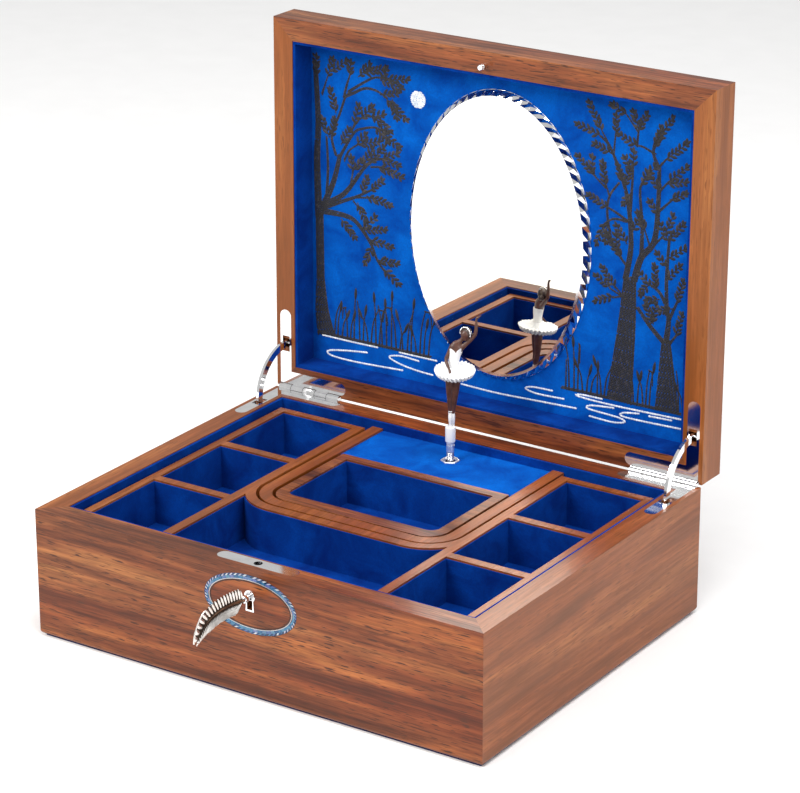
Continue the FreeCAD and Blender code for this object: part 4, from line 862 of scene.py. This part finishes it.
def slab(slabs, corners, top, finish_number, shade):
    """One flat chip: corners are (turn, inset), seen from the front and going round."""
    first = len(slabs["points"])
    count = len(corners)
    for turn, inset in corners:
        slabs["points"].append(oval_spot(turn, inset, top))
    for turn, inset in corners:
        slabs["points"].append(oval_spot(turn, inset, top + 0.35 * MM))
    slabs["faces"].append([first + k for k in range(count)])
    for k in range(count):
        after = (k + 1) % count
        slabs["faces"].append([first + k, first + count + k, first + count + after, first + after])
    slabs["shade"] += [shade] * (count + 1)
    slabs["finish"] += [finish_number] * (count + 1)


def band(slabs, inset_out, inset_in, top, finish_number, steps=144):
    for k in range(steps):
        a, b = 2 * math.pi * k / steps, 2 * math.pi * (k + 1) / steps
        slab(slabs, [(a, inset_out), (b, inset_out), (b, inset_in), (a, inset_in)], top,
             finish_number, 0.5)


def slabs_piece(slabs, name, finishes):
    mesh = bpy.data.meshes.new(name)
    mesh.from_pydata(slabs["points"], [], slabs["faces"])
    for finish in finishes:
        mesh.materials.append(finish)
    mesh.polygons.foreach_set("material_index", slabs["finish"])
    layer = mesh.attributes.new("shade", "FLOAT", "FACE")
    layer.data.foreach_set("value", slabs["shade"])
    mesh.update()
    piece = bpy.data.objects.new(name, mesh)
    bpy.context.collection.objects.link(piece)
    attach(piece, "base")
    return piece


chips = new_slabs()
ring_width = ring_half_up - field_half_up
for k in range(CHIPS):
    start = 2 * math.pi * k / CHIPS
    end = start + 2 * math.pi / CHIPS
    half = (start + end) / 2
    lean = CHIP_LEAN * (end - start)
    gap = 0.02 * (end - start)
    inner = [(start + gap, ROPE_WIDTH), (end - gap, ROPE_WIDTH)]
    slab(chips, inner + [(end - gap, ring_width - LINE_WIDTH), (start + gap, ring_width - LINE_WIDTH)],
         0.02 * MM, 0, chip_dice.random())
    slab(chips, [(start - lean, 0.0), (half - lean, 0.0), (half, ROPE_WIDTH), (start, ROPE_WIDTH)],
         -PROUD, 1, chip_dice.random())
    pale = 2 if chip_dice.random() < 0.55 else 0
    slab(chips, [(half - lean, 0.25 * MM), (end - lean, 0.25 * MM), (end, ROPE_WIDTH), (half, ROPE_WIDTH)],
         0.0, pale, chip_dice.random())
band(chips, ring_width - LINE_WIDTH, ring_width, -PROUD, 3)
band(chips, ring_width, ring_width + 1.0 * MM, -PROUD, 4)
pearl_ring = slabs_piece(chips, "pearl_ring", (paua_shell, dark_shell, pale_shell, dull_silver, brown_line))
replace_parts(pearl_ring, "inlay_ring")
print("inlay of", CHIPS, "chips, ring", round(ring_width / MM, 2), "mm wide")


# %% [markdown]
# ## Feather key
# The bow of the key is a curved silver feather. Its upper vane is a row of plump bars with dark
# oxide between them, its lower vane is finely cut and lies back towards the tip, and a dark rib
# runs between the two. A flat plate with a pattern would stay flat at its outline, so bars, fine
# barbs and rib are small lofted solids around a dark core.

# %% Lofting
key_low, key_high = (Vector(c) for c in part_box("feather_key"))
FEATHER_LENGTH = 42.6 * MM
FEATHER_RISE = 2.2 * MM
FEATHER_DROOP = 9.0 * MM
FEATHER_HALF = 7.4 * MM
FEATHER_THICK = 0.9 * MM
ROOT_Z = (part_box("lock_core")[0][2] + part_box("lock_core")[1][2]) / 2
feather_root_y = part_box("base_front")[0][1] - 6.6 * MM


def new_solids():
    return {"points": [], "faces": [], "shade": [], "finish": []}


def loft(solids, rings, finish_number=0, shade=0.5):
    """Closed solid through rings of equally many points."""
    first = len(solids["points"])
    count = len(rings[0])
    for ring in rings:
        solids["points"] += [tuple(p) for p in ring]
    faces = [[first + k for k in range(count)][::-1]]
    for r in range(len(rings) - 1):
        a = first + r * count
        for k in range(count):
            after = (k + 1) % count
            faces.append([a + k, a + after, a + count + after, a + count + k])
    faces.append([first + (len(rings) - 1) * count + k for k in range(count)])
    solids["faces"] += faces
    solids["shade"] += [shade] * len(faces)
    solids["finish"] += [finish_number] * len(faces)


def solids_piece(solids, name, finishes, body=None, smooth=40):
    mesh = bpy.data.meshes.new(name)
    mesh.from_pydata(solids["points"], [], solids["faces"])
    for finish in finishes:
        mesh.materials.append(finish)
    mesh.polygons.foreach_set("material_index", solids["finish"])
    layer = mesh.attributes.new("shade", "FLOAT", "FACE")
    layer.data.foreach_set("value", solids["shade"])
    tidy = bmesh.new()
    tidy.from_mesh(mesh)
    bmesh.ops.recalc_face_normals(tidy, faces=tidy.faces)
    tidy.to_mesh(mesh)
    tidy.free()
    mesh.update()
    piece = bpy.data.objects.new(name, mesh)
    bpy.context.collection.objects.link(piece)
    if smooth:
        bpy.context.view_layer.objects.active = piece
        piece.select_set(True)
        bpy.ops.object.shade_smooth_by_angle(angle=math.radians(smooth))
        piece.select_set(False)
    if body:
        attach(piece, body)
    return piece


print("feather from y", round(feather_root_y, 4), "to", round(key_low.y, 4))

# %% Feather outline


def feather_half(s):
    swell = min(1.0, (max(s, 0.0) / 0.1) ** 0.5)
    taper = min(1.0, (max(1.02 - s, 0.0) / 0.25) ** 0.5)
    return FEATHER_HALF * swell * taper


def rib_height(s):
    """The rib first rises a little and then falls away faster and faster towards the tip."""
    s = max(s, 0.0)
    return FEATHER_RISE * math.sin(math.pi * min(1.0, s ** 0.9)) - FEATHER_DROOP * s ** 6


def feather_spot(s, v, out):
    """s runs from root to tip, v from the lower edge -1 to the upper edge 1, out across."""
    step = 0.002
    climb = (rib_height(s + step) - rib_height(s - step)) / (2 * step * FEATHER_LENGTH)
    tilt = math.atan(climb)
    half = feather_half(s)
    return (
        out,
        feather_root_y - FEATHER_LENGTH * s + half * v * math.sin(tilt),
        ROOT_Z + rib_height(s) + half * v * math.cos(tilt),
    )


def barb(solids, s, lean, width, v_start, v_end, crest, finish_number, shade, stations=6):
    """One bar of the vane, from the rib to the edge: fat in the middle and round at its ends."""
    rings = []
    for k in range(stations):
        t = k / (stations - 1)
        along = min(1.01, s + lean * (1 - s ** 4) * t ** 1.3)
        v = v_start + (v_end - v_start) * t
        fat = math.sqrt(max(0.05, 1 - (2 * t - 1) ** 4))
        w = width * fat / 2
        high = crest * fat
        ring = [(along - w, v, 0.35 * high), (along, v, high), (along + w, v, 0.35 * high),
                (along + w, v, -0.35 * high), (along, v, -high), (along - w, v, -0.35 * high)]
        rings.append([feather_spot(*spot) for spot in ring])
    loft(solids, rings, finish_number, shade)


# %% Bars, barbs, rib and core
UPPER_BARS = 18
LOWER_BARBS = 32
feather = new_solids()
feather_dice = random.Random(11)
core_rings = []
for k in range(25):
    s = 0.01 + 0.97 * k / 24
    core_rings.append([feather_spot(s, v * 0.93, out) for v, out in (
        (-1, 0), (-0.5, 0.42 * MM), (0.5, 0.42 * MM), (1, 0), (0.5, -0.42 * MM), (-0.5, -0.42 * MM))])
loft(feather, core_rings, 1)
for k in range(UPPER_BARS):
    s = 0.02 + 0.95 * k / (UPPER_BARS - 1)
    pitch = 0.95 / (UPPER_BARS - 1)
    barb(feather, s, 0.045, 0.74 * pitch, 0.10, 0.985, FEATHER_THICK, 0, feather_dice.random())
for k in range(LOWER_BARBS):
    s = 0.02 + 0.95 * k / (LOWER_BARBS - 1)
    pitch = 0.95 / (LOWER_BARBS - 1)
    barb(feather, s, 0.13, 0.78 * pitch, -0.10, -0.985 - 0.05 * feather_dice.random(),
         0.72 * MM, 2, feather_dice.random(), 5)


def round_rod(places, radii, finish_number, sides=10):
    """A rod through places in the feather's middle plane, thicker or thinner by radii."""
    rings = []
    for k, (place, radius) in enumerate(zip(places, radii)):
        before = Vector(places[max(0, k - 1)])
        after = Vector(places[min(len(places) - 1, k + 1)])
        ahead = (after - before).normalized()
        side = Vector((1, 0, 0))
        above = ahead.cross(side).normalized()
        rings.append([
            Vector(place) + radius * (math.cos(2 * math.pi * n / sides) * side
                                      + math.sin(2 * math.pi * n / sides) * above)
            for n in range(sides)
        ])
    loft(feather, rings, finish_number)


RIB_STEPS = 22
rib_s = [-0.005 + 0.965 * k / RIB_STEPS for k in range(RIB_STEPS + 1)]
round_rod([feather_spot(s, 0, 0) for s in rib_s], [(0.95 - 0.62 * s) * MM for s in rib_s], 3)
for edge in (1, -1):
    tip_s = [0.74 + 0.27 * k / 8 for k in range(9)]
    round_rod([feather_spot(s, edge * 0.96, 0) for s in tip_s], [0.45 * MM] * 9, 0, 8)
shaft_y = (feather_root_y - 0.6 * MM, feather_root_y + 1.0 * MM, feather_root_y + 1.0 * MM,
           feather_root_y + 3.0 * MM, feather_root_y + 3.0 * MM, key_high.y)
shaft_r = (1.3, 1.5, 2.1, 2.1, 1.2, 1.2)
round_rod([(0, y, ROOT_Z) for y in shaft_y], [r * MM for r in shaft_r], 4, 20)
print("feather of", UPPER_BARS, "bars and", LOWER_BARBS, "barbs")

# %% Feather finishes
feather_silver = metal("feather_silver", (0.90, 0.86, 0.82), (0.62, 0.57, 0.52), 0.20, 0.2)
fine_silver = metal("fine_silver", (0.74, 0.72, 0.70), (0.42, 0.39, 0.36), 0.28, 0.3)
# Dark oxide in the feather's hollows; the collar also uses it on the floor of its hole, where it is painted
# shade.
oxide_and_shade = metal("oxide_and_shade", (0.10, 0.075, 0.055), (0.035, 0.025, 0.02), 0.5, 0.4)
rib_bronze = metal("rib_bronze", (0.36, 0.24, 0.15), (0.11, 0.06, 0.04), 0.3, 0.3)
feather_key = solids_piece(
    feather, "silver_feather_key", (feather_silver, oxide_and_shade, fine_silver, rib_bronze, chrome), "key"
)
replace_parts(feather_key, "feather_key")
print("key", [round(v / MM, 1) for v in feather_key.dimensions], "mm")


# %% [markdown]
# ## Dancer
# The dancer is a painted resin figure, 70 mm from her shoes to her raised hand. She stands on
# the points of her shoes on a white peg, with one arm raised and one hand resting on her skirt.
# Limbs, body and head are
# lofted solids; a remesh melts them into one skin, as the figure is one casting. Bodice, hair,
# headband and shoes are separate coats of colour on the real figure, so they are thin shells over
# the skin. The face is small and plain.

# %% Dancer's own directions
DANCER_TURN = math.radians(33)
spindle_low, spindle_high = (Vector(c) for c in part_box("spindle"))
stage_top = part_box("stage_suede")[1][2]
dancer_axis = ((spindle_low + spindle_high) / 2).xy
across_way = Vector((math.cos(DANCER_TURN), math.sin(DANCER_TURN)))
ahead_way = Vector((math.sin(DANCER_TURN), -math.cos(DANCER_TURN)))


def stand(across, ahead, height):
    """Place on the dancer in millimetres: to her left, to her front, and above the stage."""
    flat = dancer_axis + (across_way * across + ahead_way * ahead) * MM
    return Vector((flat.x, flat.y, stage_top + height * MM))


def limb(solids, stops, finish_number=0, sides=16, rounded=True):
    """Loft through stops of (across, ahead, height, half across, half ahead)."""
    rings = []
    for k, (across, ahead, height, wide, deep) in enumerate(stops):
        before, after = Vector(stops[max(0, k - 1)][:3]), Vector(stops[min(len(stops) - 1, k + 1)][:3])
        way = (after - before).normalized()
        side = Vector((0, 1, 0)).cross(way)
        side = side.normalized() if side.length > 0.2 else Vector((1, 0, 0))
        front = way.cross(side).normalized()
        middle = Vector((across, ahead, height))
        rings.append([
            stand(*(middle + side * wide * math.cos(a) + front * deep * math.sin(a)))
            for a in (2 * math.pi * n / sides for n in range(sides))
        ])
    loft(solids, rings, finish_number)


def ball(solids, middle, half, sides=16, rows=9, finish_number=0):
    rings = []
    for r in range(rows):
        a = -math.pi / 2 + math.pi * (r + 0.35) / (rows - 0.3)
        rings.append([
            stand(middle[0] + half[0] * math.cos(a) * math.cos(b),
                  middle[1] + half[1] * math.cos(a) * math.sin(b),
                  middle[2] + half[2] * math.sin(a))
            for b in (2 * math.pi * n / sides for n in range(sides))
        ])
    loft(solids, rings, finish_number)


print("dancer stands at", [round(v, 4) for v in dancer_axis], "stage", round(stage_top, 4))

# %% [markdown]
# ## Paint for the dancer
# Skin, satin and hair are matt paints with a slight gloss, brushed by hand, so each is a little
# uneven. The peg is glossy white plastic.

# %% Paints


def paint(name, deep, light, dull, gloss=0.0, glow=0.0):
    finish, tree, shader = new_finish(name)
    brushed = speckle(tree, own_place(tree), 260, 3, 0.6)
    tree.links.new(shades(tree, brushed, (0.3, deep), (0.7, light)), shader.inputs["Base Color"])
    tree.links.new(
        shades(tree, brushed, (0.3, dull), (0.7, dull + 0.12)), shader.inputs["Roughness"]
    )
    shader.inputs["Coat Weight"].default_value = gloss
    shader.inputs["Coat Roughness"].default_value = 0.08
    shader.inputs["Sheen Weight"].default_value = glow
    relief(tree, shader, brushed, 0.12, 0.0001)
    return finish


brown_skin = paint("brown_skin", (0.055, 0.019, 0.011), (0.115, 0.042, 0.025), 0.4, 0.15)
white_satin = paint("white_satin", (0.80, 0.80, 0.80), (0.92, 0.92, 0.92), 0.45, 0.0, 0.2)
dark_hair = paint("dark_hair", (0.020, 0.010, 0.008), (0.06, 0.032, 0.022), 0.35, 0.2)
white_gloss = paint("white_gloss", (0.86, 0.86, 0.87), (0.90, 0.90, 0.90), 0.12, 0.8)
print("paints", brown_skin.name, white_satin.name, dark_hair.name, white_gloss.name)

# %% Skin: legs, body, arms, neck and head
HEAD = (8.4, 0.3, 79.3)
FACE_TURN = math.radians(-28)


def on_face(aside, up, out):
    """Place near the head: aside and up from its middle, out along the way the face looks."""
    return (
        HEAD[0] + aside * math.cos(FACE_TURN) + out * math.sin(FACE_TURN),
        HEAD[1] - aside * math.sin(FACE_TURN) + out * math.cos(FACE_TURN),
        HEAD[2] + up + 0.18 * out,
    )


skin = new_solids()
limb(skin, [(-0.55, 0, 55.5, 2.5, 2.6), (-0.65, 0, 50, 2.35, 2.5), (-0.65, 0.1, 44, 2.0, 2.15),
            (-0.5, 0.2, 39, 1.6, 1.65), (-0.35, -0.1, 35, 1.5, 1.7), (-0.1, 0, 31, 1.05, 1.1),
            (0.1, 0.3, 27.5, 1.0, 1.3), (0.45, 0.3, 23.5, 0.75, 0.85)])
limb(skin, [(3.6, 0, 55.5, 2.5, 2.6), (3.5, 0, 50, 2.35, 2.5), (3.0, 0, 44, 2.0, 2.15),
            (2.5, 0.1, 39, 1.6, 1.65), (2.0, -0.4, 35, 1.5, 1.7), (1.55, -0.4, 31, 1.05, 1.1),
            (1.45, -0.5, 27.5, 1.0, 1.3), (1.2, -0.3, 23.5, 0.75, 0.85)])
limb(skin, [(1.5, 0, 51.5, 3.4, 2.5), (1.5, 0, 55, 4.4, 3.3), (1.6, 0, 58.5, 3.7, 2.8),
            (1.85, 0, 62.5, 2.85, 2.2), (2.1, 0, 66.0, 3.3, 2.5), (2.9, 0.3, 69.3, 3.9, 2.7),
            (3.3, 0.1, 71.8, 4.1, 2.2), (3.9, 0, 73.6, 2.9, 1.6), (5.2, 0, 75.0, 1.55, 1.4),
            (6.4, 0.1, 76.2, 1.3, 1.3), (7.6, 0.2, 77.6, 1.3, 1.35)], sides=22)
limb(skin, [(4.6, 0, 70.3, 1.6, 1.5), (6.6, 0.1, 71.4, 1.65, 1.5), (9.6, 0.2, 74.3, 1.45, 1.4),
            (12.6, 0.3, 77.2, 1.25, 1.2), (14.2, 0.3, 79.4, 1.2, 1.2), (14.75, 0.3, 82.0, 1.15, 1.1),
            (14.9, 0.3, 85.5, 0.95, 0.95), (14.8, 0.3, 88.3, 0.68, 0.75), (15.1, 0.3, 89.5, 0.85, 0.65),
            (16.0, 0.3, 90.3, 0.85, 0.5), (17.1, 0.3, 90.9, 0.5, 0.38), (17.9, 0.3, 91.2, 0.28, 0.25)])
limb(skin, [(1.9, 0, 71.8, 1.6, 1.5), (0.4, 0.1, 71.4, 1.6, 1.45), (-1.1, 0.6, 68.0, 1.3, 1.3),
            (-2.6, 1.2, 65.0, 1.15, 1.15), (-2.6, 2.3, 63.2, 1.1, 1.1), (-1.7, 3.9, 61.3, 0.95, 0.95),
            (-0.8, 5.3, 59.7, 0.68, 0.7), (-0.5, 6.0, 58.8, 0.85, 0.65), (-0.3, 6.9, 57.7, 0.8, 0.5),
            (-0.15, 7.6, 56.7, 0.4, 0.3)])
ball(skin, on_face(0, 0.6, -0.3), (2.9, 3.1, 3.2), 20, 12)
ball(skin, on_face(0, -1.2, 0.65), (1.95, 2.05, 2.35))
ball(skin, on_face(0, -0.4, 2.75), (0.36, 0.48, 0.7), 8, 6)
ball(skin, on_face(0, -1.85, 2.35), (0.7, 0.4, 0.32), 8, 6)
ball(skin, on_face(0, 0.85, 2.2), (1.55, 0.7, 0.35), 10, 6)
ball(skin, (15.7, 0.9, 89.9), (0.55, 0.32, 0.32), 8, 6)
dancer_skin = solids_piece(skin, "dancer_skin", (brown_skin,), "dancer", 0)
SKIN_VOXEL = 0.34 * MM
melt = dancer_skin.modifiers.new("melt", "REMESH")
melt.mode = "VOXEL"
melt.voxel_size = SKIN_VOXEL
melt.use_smooth_shade = True
even = dancer_skin.modifiers.new("even", "SMOOTH")
even.factor = 0.5
even.iterations = 5
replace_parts(dancer_skin, "dancer_figure")
print("skin of", len(skin["faces"]), "lofted faces before melting")

# %% Bodice, hair, headband, shoes and ribbons
clothes = new_solids()
BODICE_SIDES = 40
bodice_rings = []
for height, middle, wide, deep in ((56.0, 1.6, 4.3, 3.3), (59, 1.65, 3.85, 2.95), (62.5, 1.85, 3.1, 2.45),
                                   (66, 2.15, 3.6, 2.8), (68.8, 2.75, 4.1, 3.0)):
    bodice_rings.append([stand(middle + wide * math.cos(a), deep * math.sin(a), height)
                         for a in (2 * math.pi * n / BODICE_SIDES for n in range(BODICE_SIDES))])
top_ring = []
for n in range(BODICE_SIDES):
    a = 2 * math.pi * n / BODICE_SIDES
    front = max(0.0, math.sin(a))
    cup = front * abs(math.cos(a)) * 2.0
    top_ring.append(stand(2.9 + 4.0 * math.cos(a), (2.85 + 0.2 * cup) * math.sin(a), 69.2 + 2.2 * cup))
bodice_rings.append(top_ring)
loft(clothes, bodice_rings)
for aside, front, way in ((-0.05, 0.5, -1), (1.4, -0.45, 1)):
    limb(clothes, [(aside, front, 29.8, 1.2, 1.3), (aside + 0.05, front + 0.35, 28.3, 1.32, 1.7),
                   (aside + 0.1, front + 0.3, 26.2, 1.22, 1.65), (aside + 0.15, front + 0.1, 24.2, 1.0, 1.2),
                   (aside + 0.2, front, 22.6, 0.85, 0.9), (aside + 0.2, front, 22.0, 0.72, 0.78)], 0, 16)
    for height in (30.3, 31.5):
        limb(clothes, [(aside - 0.05 * way, front - 0.6, height - 0.3, 1.3, 1.35),
                       (aside - 0.05 * way, front - 0.6, height + 0.3, 1.28, 1.32)], 0, 16)
dancer_clothes = solids_piece(clothes, "dancer_bodice_and_shoes", (white_satin,), "dancer")
hair = new_solids()
ball(hair, on_face(0.2, 1.05, -1.0), (3.35, 3.3, 3.45), 22, 12)
ball(hair, on_face(0.9, -0.2, -3.6), (2.0, 1.8, 2.0), 14, 8)
dancer_hair = solids_piece(hair, "dancer_hair", (dark_hair,), "dancer", 60)
band_work = new_solids()
BAND_STEPS = 28
band_path = []
for k in range(BAND_STEPS + 1):
    a = math.radians(-12) + math.radians(204) * k / BAND_STEPS
    band_path.append((3.3 * math.cos(a), 1.0 + 3.55 * math.sin(a), 0.0))
for k in range(BAND_STEPS):
    here, after = band_path[k], band_path[k + 1]
    ball(band_work, on_face(*((h + f) / 2 for h, f in zip(here, after))), (0.45, 0.45, 0.45), 8, 6)
for k in range(5):
    s = k / 4
    ball(band_work, on_face(3.2 + 0.2 * s, -0.6 + 2.4 * s, -0.2 - 0.5 * s), (0.5 - 0.15 * s, 0.5, 0.7), 8, 6)
headband = solids_piece(band_work, "dancer_headband", (chrome, white_satin), "dancer", 60)
print("clothes", len(clothes["faces"]), "hair", len(hair["faces"]), "band", len(band_work["faces"]), "faces")

# %% [markdown]
# ## Tutu
# The skirt is four layers of white tulle, gathered at the waist so that each spreads flat and its
# edge ruffles. A plain disc would look like a plate. Each layer is a ring of cloth whose height
# and edge follow waves, and the waves grow towards the edge and shift from layer to layer.

# %% Tulle
tulle, tulle_tree, tulle_shader = new_finish("tulle")
tulle_net = speckle(tulle_tree, own_place(tulle_tree), 1400, 2, 0.5)
tulle_tree.links.new(
    shades(tulle_tree, tulle_net, (0.3, (0.86, 0.87, 0.90)), (0.7, (0.95, 0.95, 0.96))),
    tulle_shader.inputs["Base Color"],
)
tulle_tree.links.new(shades(tulle_tree, tulle_net, (0.3, 0.7), (0.7, 0.9)), tulle_shader.inputs["Roughness"])
tulle_shader.inputs["Sheen Weight"].default_value = 0.4
relief(tulle_tree, tulle_shader, tulle_net, 0.3, 0.0002)

TUTU_MIDDLE = (2.5, 0.0)
TUTU_RADIUS = 12.05
TUTU_DIP = 0.11
TUTU_WAIST = 2.4
RUFFLES = 30
LAYERS = ((58.9, 0.0, 1.0), (58.0, 0.9, 0.985), (57.1, 2.1, 0.95), (56.2, 3.0, 0.87))


def tulle_layer(solids, height, shift, size, spokes=240, rows=12):
    first = len(solids["points"])
    for r in range(rows):
        t = r / (rows - 1)
        for k in range(spokes):
            a = 2 * math.pi * k / spokes
            wave = math.sin(RUFFLES * a + shift) + 0.35 * math.sin(11 * a + 2 * shift)
            out = TUTU_WAIST + (TUTU_RADIUS * size - TUTU_WAIST) * t * (1 + 0.022 * wave * t)
            lift = 0.42 * wave * t ** 1.5 - 1.5 * t ** 1.6 + 1.3 * (1 - t) ** 2.5
            lift -= TUTU_DIP * out * math.sin(a)
            solids["points"].append(tuple(stand(
                TUTU_MIDDLE[0] + out * math.cos(a), TUTU_MIDDLE[1] + out * math.sin(a), height + lift)))
    for r in range(rows - 1):
        for k in range(spokes):
            a, b = first + r * spokes + k, first + r * spokes + (k + 1) % spokes
            solids["faces"].append([a, b, b + spokes, a + spokes])
            solids["shade"].append(0.5)
            solids["finish"].append(0)


tulle_work = new_solids()
for height, shift, size in LAYERS:
    tulle_layer(tulle_work, height, shift, size)
tutu = solids_piece(tulle_work, "tulle_tutu", (tulle,), "dancer", 60)
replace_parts(tutu, "dancer_tutu")

# %% [markdown]
# ## Peg, stem and spring
# Below her shoes is a glossy white peg, under it a chrome stem with a turned groove, and under
# that a closely wound spring that lets her fold flat when the lid closes. It is one wire wound
# into a helix.

# %% Peg and stem


def turned(solids, profile, finish_number, sides=32):
    """Solid of revolution on the dancer's own axis; profile is (radius, height) in millimetres."""
    loft(solids, [[stand(r * math.cos(a), r * math.sin(a), h)
                   for a in (2 * math.pi * n / sides for n in range(sides))] for r, h in profile],
         finish_number)


stem_low, stem_high = (c[2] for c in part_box("dancer_stem"))
stem_foot = (stem_low - stage_top) / MM
peg_head = (stem_high - stage_top) / MM
peg_foot = peg_head - 9.9
PEG_R = 3.1
SLEEVE_R = 2.3
peg = new_solids()
turned(peg, [(1.2, peg_foot), (2.5, peg_foot), (2.95, peg_foot + 0.4),
             (PEG_R, peg_foot + 1.0), (PEG_R, peg_head - 1.0), (PEG_R - 0.1, peg_head - 0.4),
             (2.6, peg_head - 0.06), (2.2, peg_head)], 0)
turned(peg, [(SLEEVE_R - 0.15, stem_foot), (SLEEVE_R, stem_foot + 0.2), (SLEEVE_R, peg_foot - 1.9),
             (1.85, peg_foot - 1.75), (1.85, peg_foot - 1.45), (SLEEVE_R, peg_foot - 1.3),
             (SLEEVE_R, peg_foot - 0.7), (2.0, peg_foot - 0.5), (2.0, peg_foot + 0.1)], 1)
dancer_peg = solids_piece(peg, "dancer_peg_and_stem", (white_gloss, satin_chrome), "dancer", 35)
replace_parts(dancer_peg, "dancer_stem")
print("peg from", round(stem_foot, 2), "to", round(peg_head, 2), "mm above the stage")

# %% Spring
WIRE = 0.34
COIL_RADIUS = 1.9
collar_top = (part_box("spindle_collar")[1][2] - stage_top) / MM
spring_foot, spring_head = collar_top - 0.1, stem_foot + 0.15
turns = int((spring_head - spring_foot - 2 * WIRE) / (2 * WIRE))
STEPS_A_TURN = 18
wire_path = []
for k in range(turns * STEPS_A_TURN + 1):
    a = 2 * math.pi * k / STEPS_A_TURN
    rise = spring_foot + WIRE + (spring_head - spring_foot - 2 * WIRE) * k / (turns * STEPS_A_TURN)
    wire_path.append(stand(COIL_RADIUS * math.cos(a), COIL_RADIUS * math.sin(a), rise))
coil = new_solids()
coil_rings = []
for k, place in enumerate(wire_path):
    after, before = wire_path[min(k + 1, len(wire_path) - 1)], wire_path[max(k - 1, 0)]
    way = (after - before).normalized()
    out = Vector((place.x - dancer_axis.x, place.y - dancer_axis.y, 0)).normalized()
    above = way.cross(out).normalized()
    coil_rings.append([place + WIRE * MM * (out * math.cos(b) + above * math.sin(b))
                       for b in (2 * math.pi * n / 8 for n in range(8))])
loft(coil, coil_rings)
spring = solids_piece(coil, "dancer_spring", (chrome,), None, 60)
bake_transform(spring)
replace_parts(spring, "spring_knuckle")
print("spring of", turns, "turns,", round(spring_head - spring_foot, 1), "mm tall")

# %% [markdown]
# ## Collar round the spring
# The spring comes out of a chrome nut with six sides and a dished hole, screwed flush into the
# stage. It is turned and milled on the real box; here it is one ring with a dish, made from hexagon
# and circle outlines.

# %% Collar
collar_low, collar_high = (Vector(c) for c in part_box("spindle_collar"))
collar_half = (collar_high.x - collar_low.x) / 2 / MM / math.cos(math.pi / 6)
collar_top_height = (collar_high.z - stage_top) / MM
HOLE_R = 3.7


def nut_ring(reach, height, hexagon=True, count=72):
    ring = []
    for n in range(count):
        a = 2 * math.pi * n / count
        flat = math.cos(math.pi / 6) / math.cos((a + math.pi / 6) % (math.pi / 3) - math.pi / 6)
        r = reach * (flat if hexagon else 1.0)
        ring.append(Vector((dancer_axis.x + r * MM * math.cos(a), dancer_axis.y + r * MM * math.sin(a),
                            stage_top + height * MM)))
    return ring


nut = new_solids()
nut_profile = ((collar_half, -0.2, True), (collar_half, collar_top_height - 0.3, True),
               (collar_half - 0.35, collar_top_height, True), (HOLE_R + 0.5, collar_top_height, False),
               (HOLE_R, collar_top_height - 0.3, False), (2.4, -1.0, False))
loft(nut, [nut_ring(*row) for row in nut_profile])
# The floor of the dished hole and the hidden underside get the dark oxide finish; on the floor of the hole
# it is painted shade for the hole's dark inside.
for face_number in (0, len(nut["faces"]) - 1):
    nut["finish"][face_number] = 1
collar_piece = solids_piece(nut, "hexagon_collar", (satin_chrome, oxide_and_shade), "base", 30)
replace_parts(collar_piece, "spindle_collar")
print("collar", [round(v / MM, 1) for v in collar_piece.dimensions], "mm")
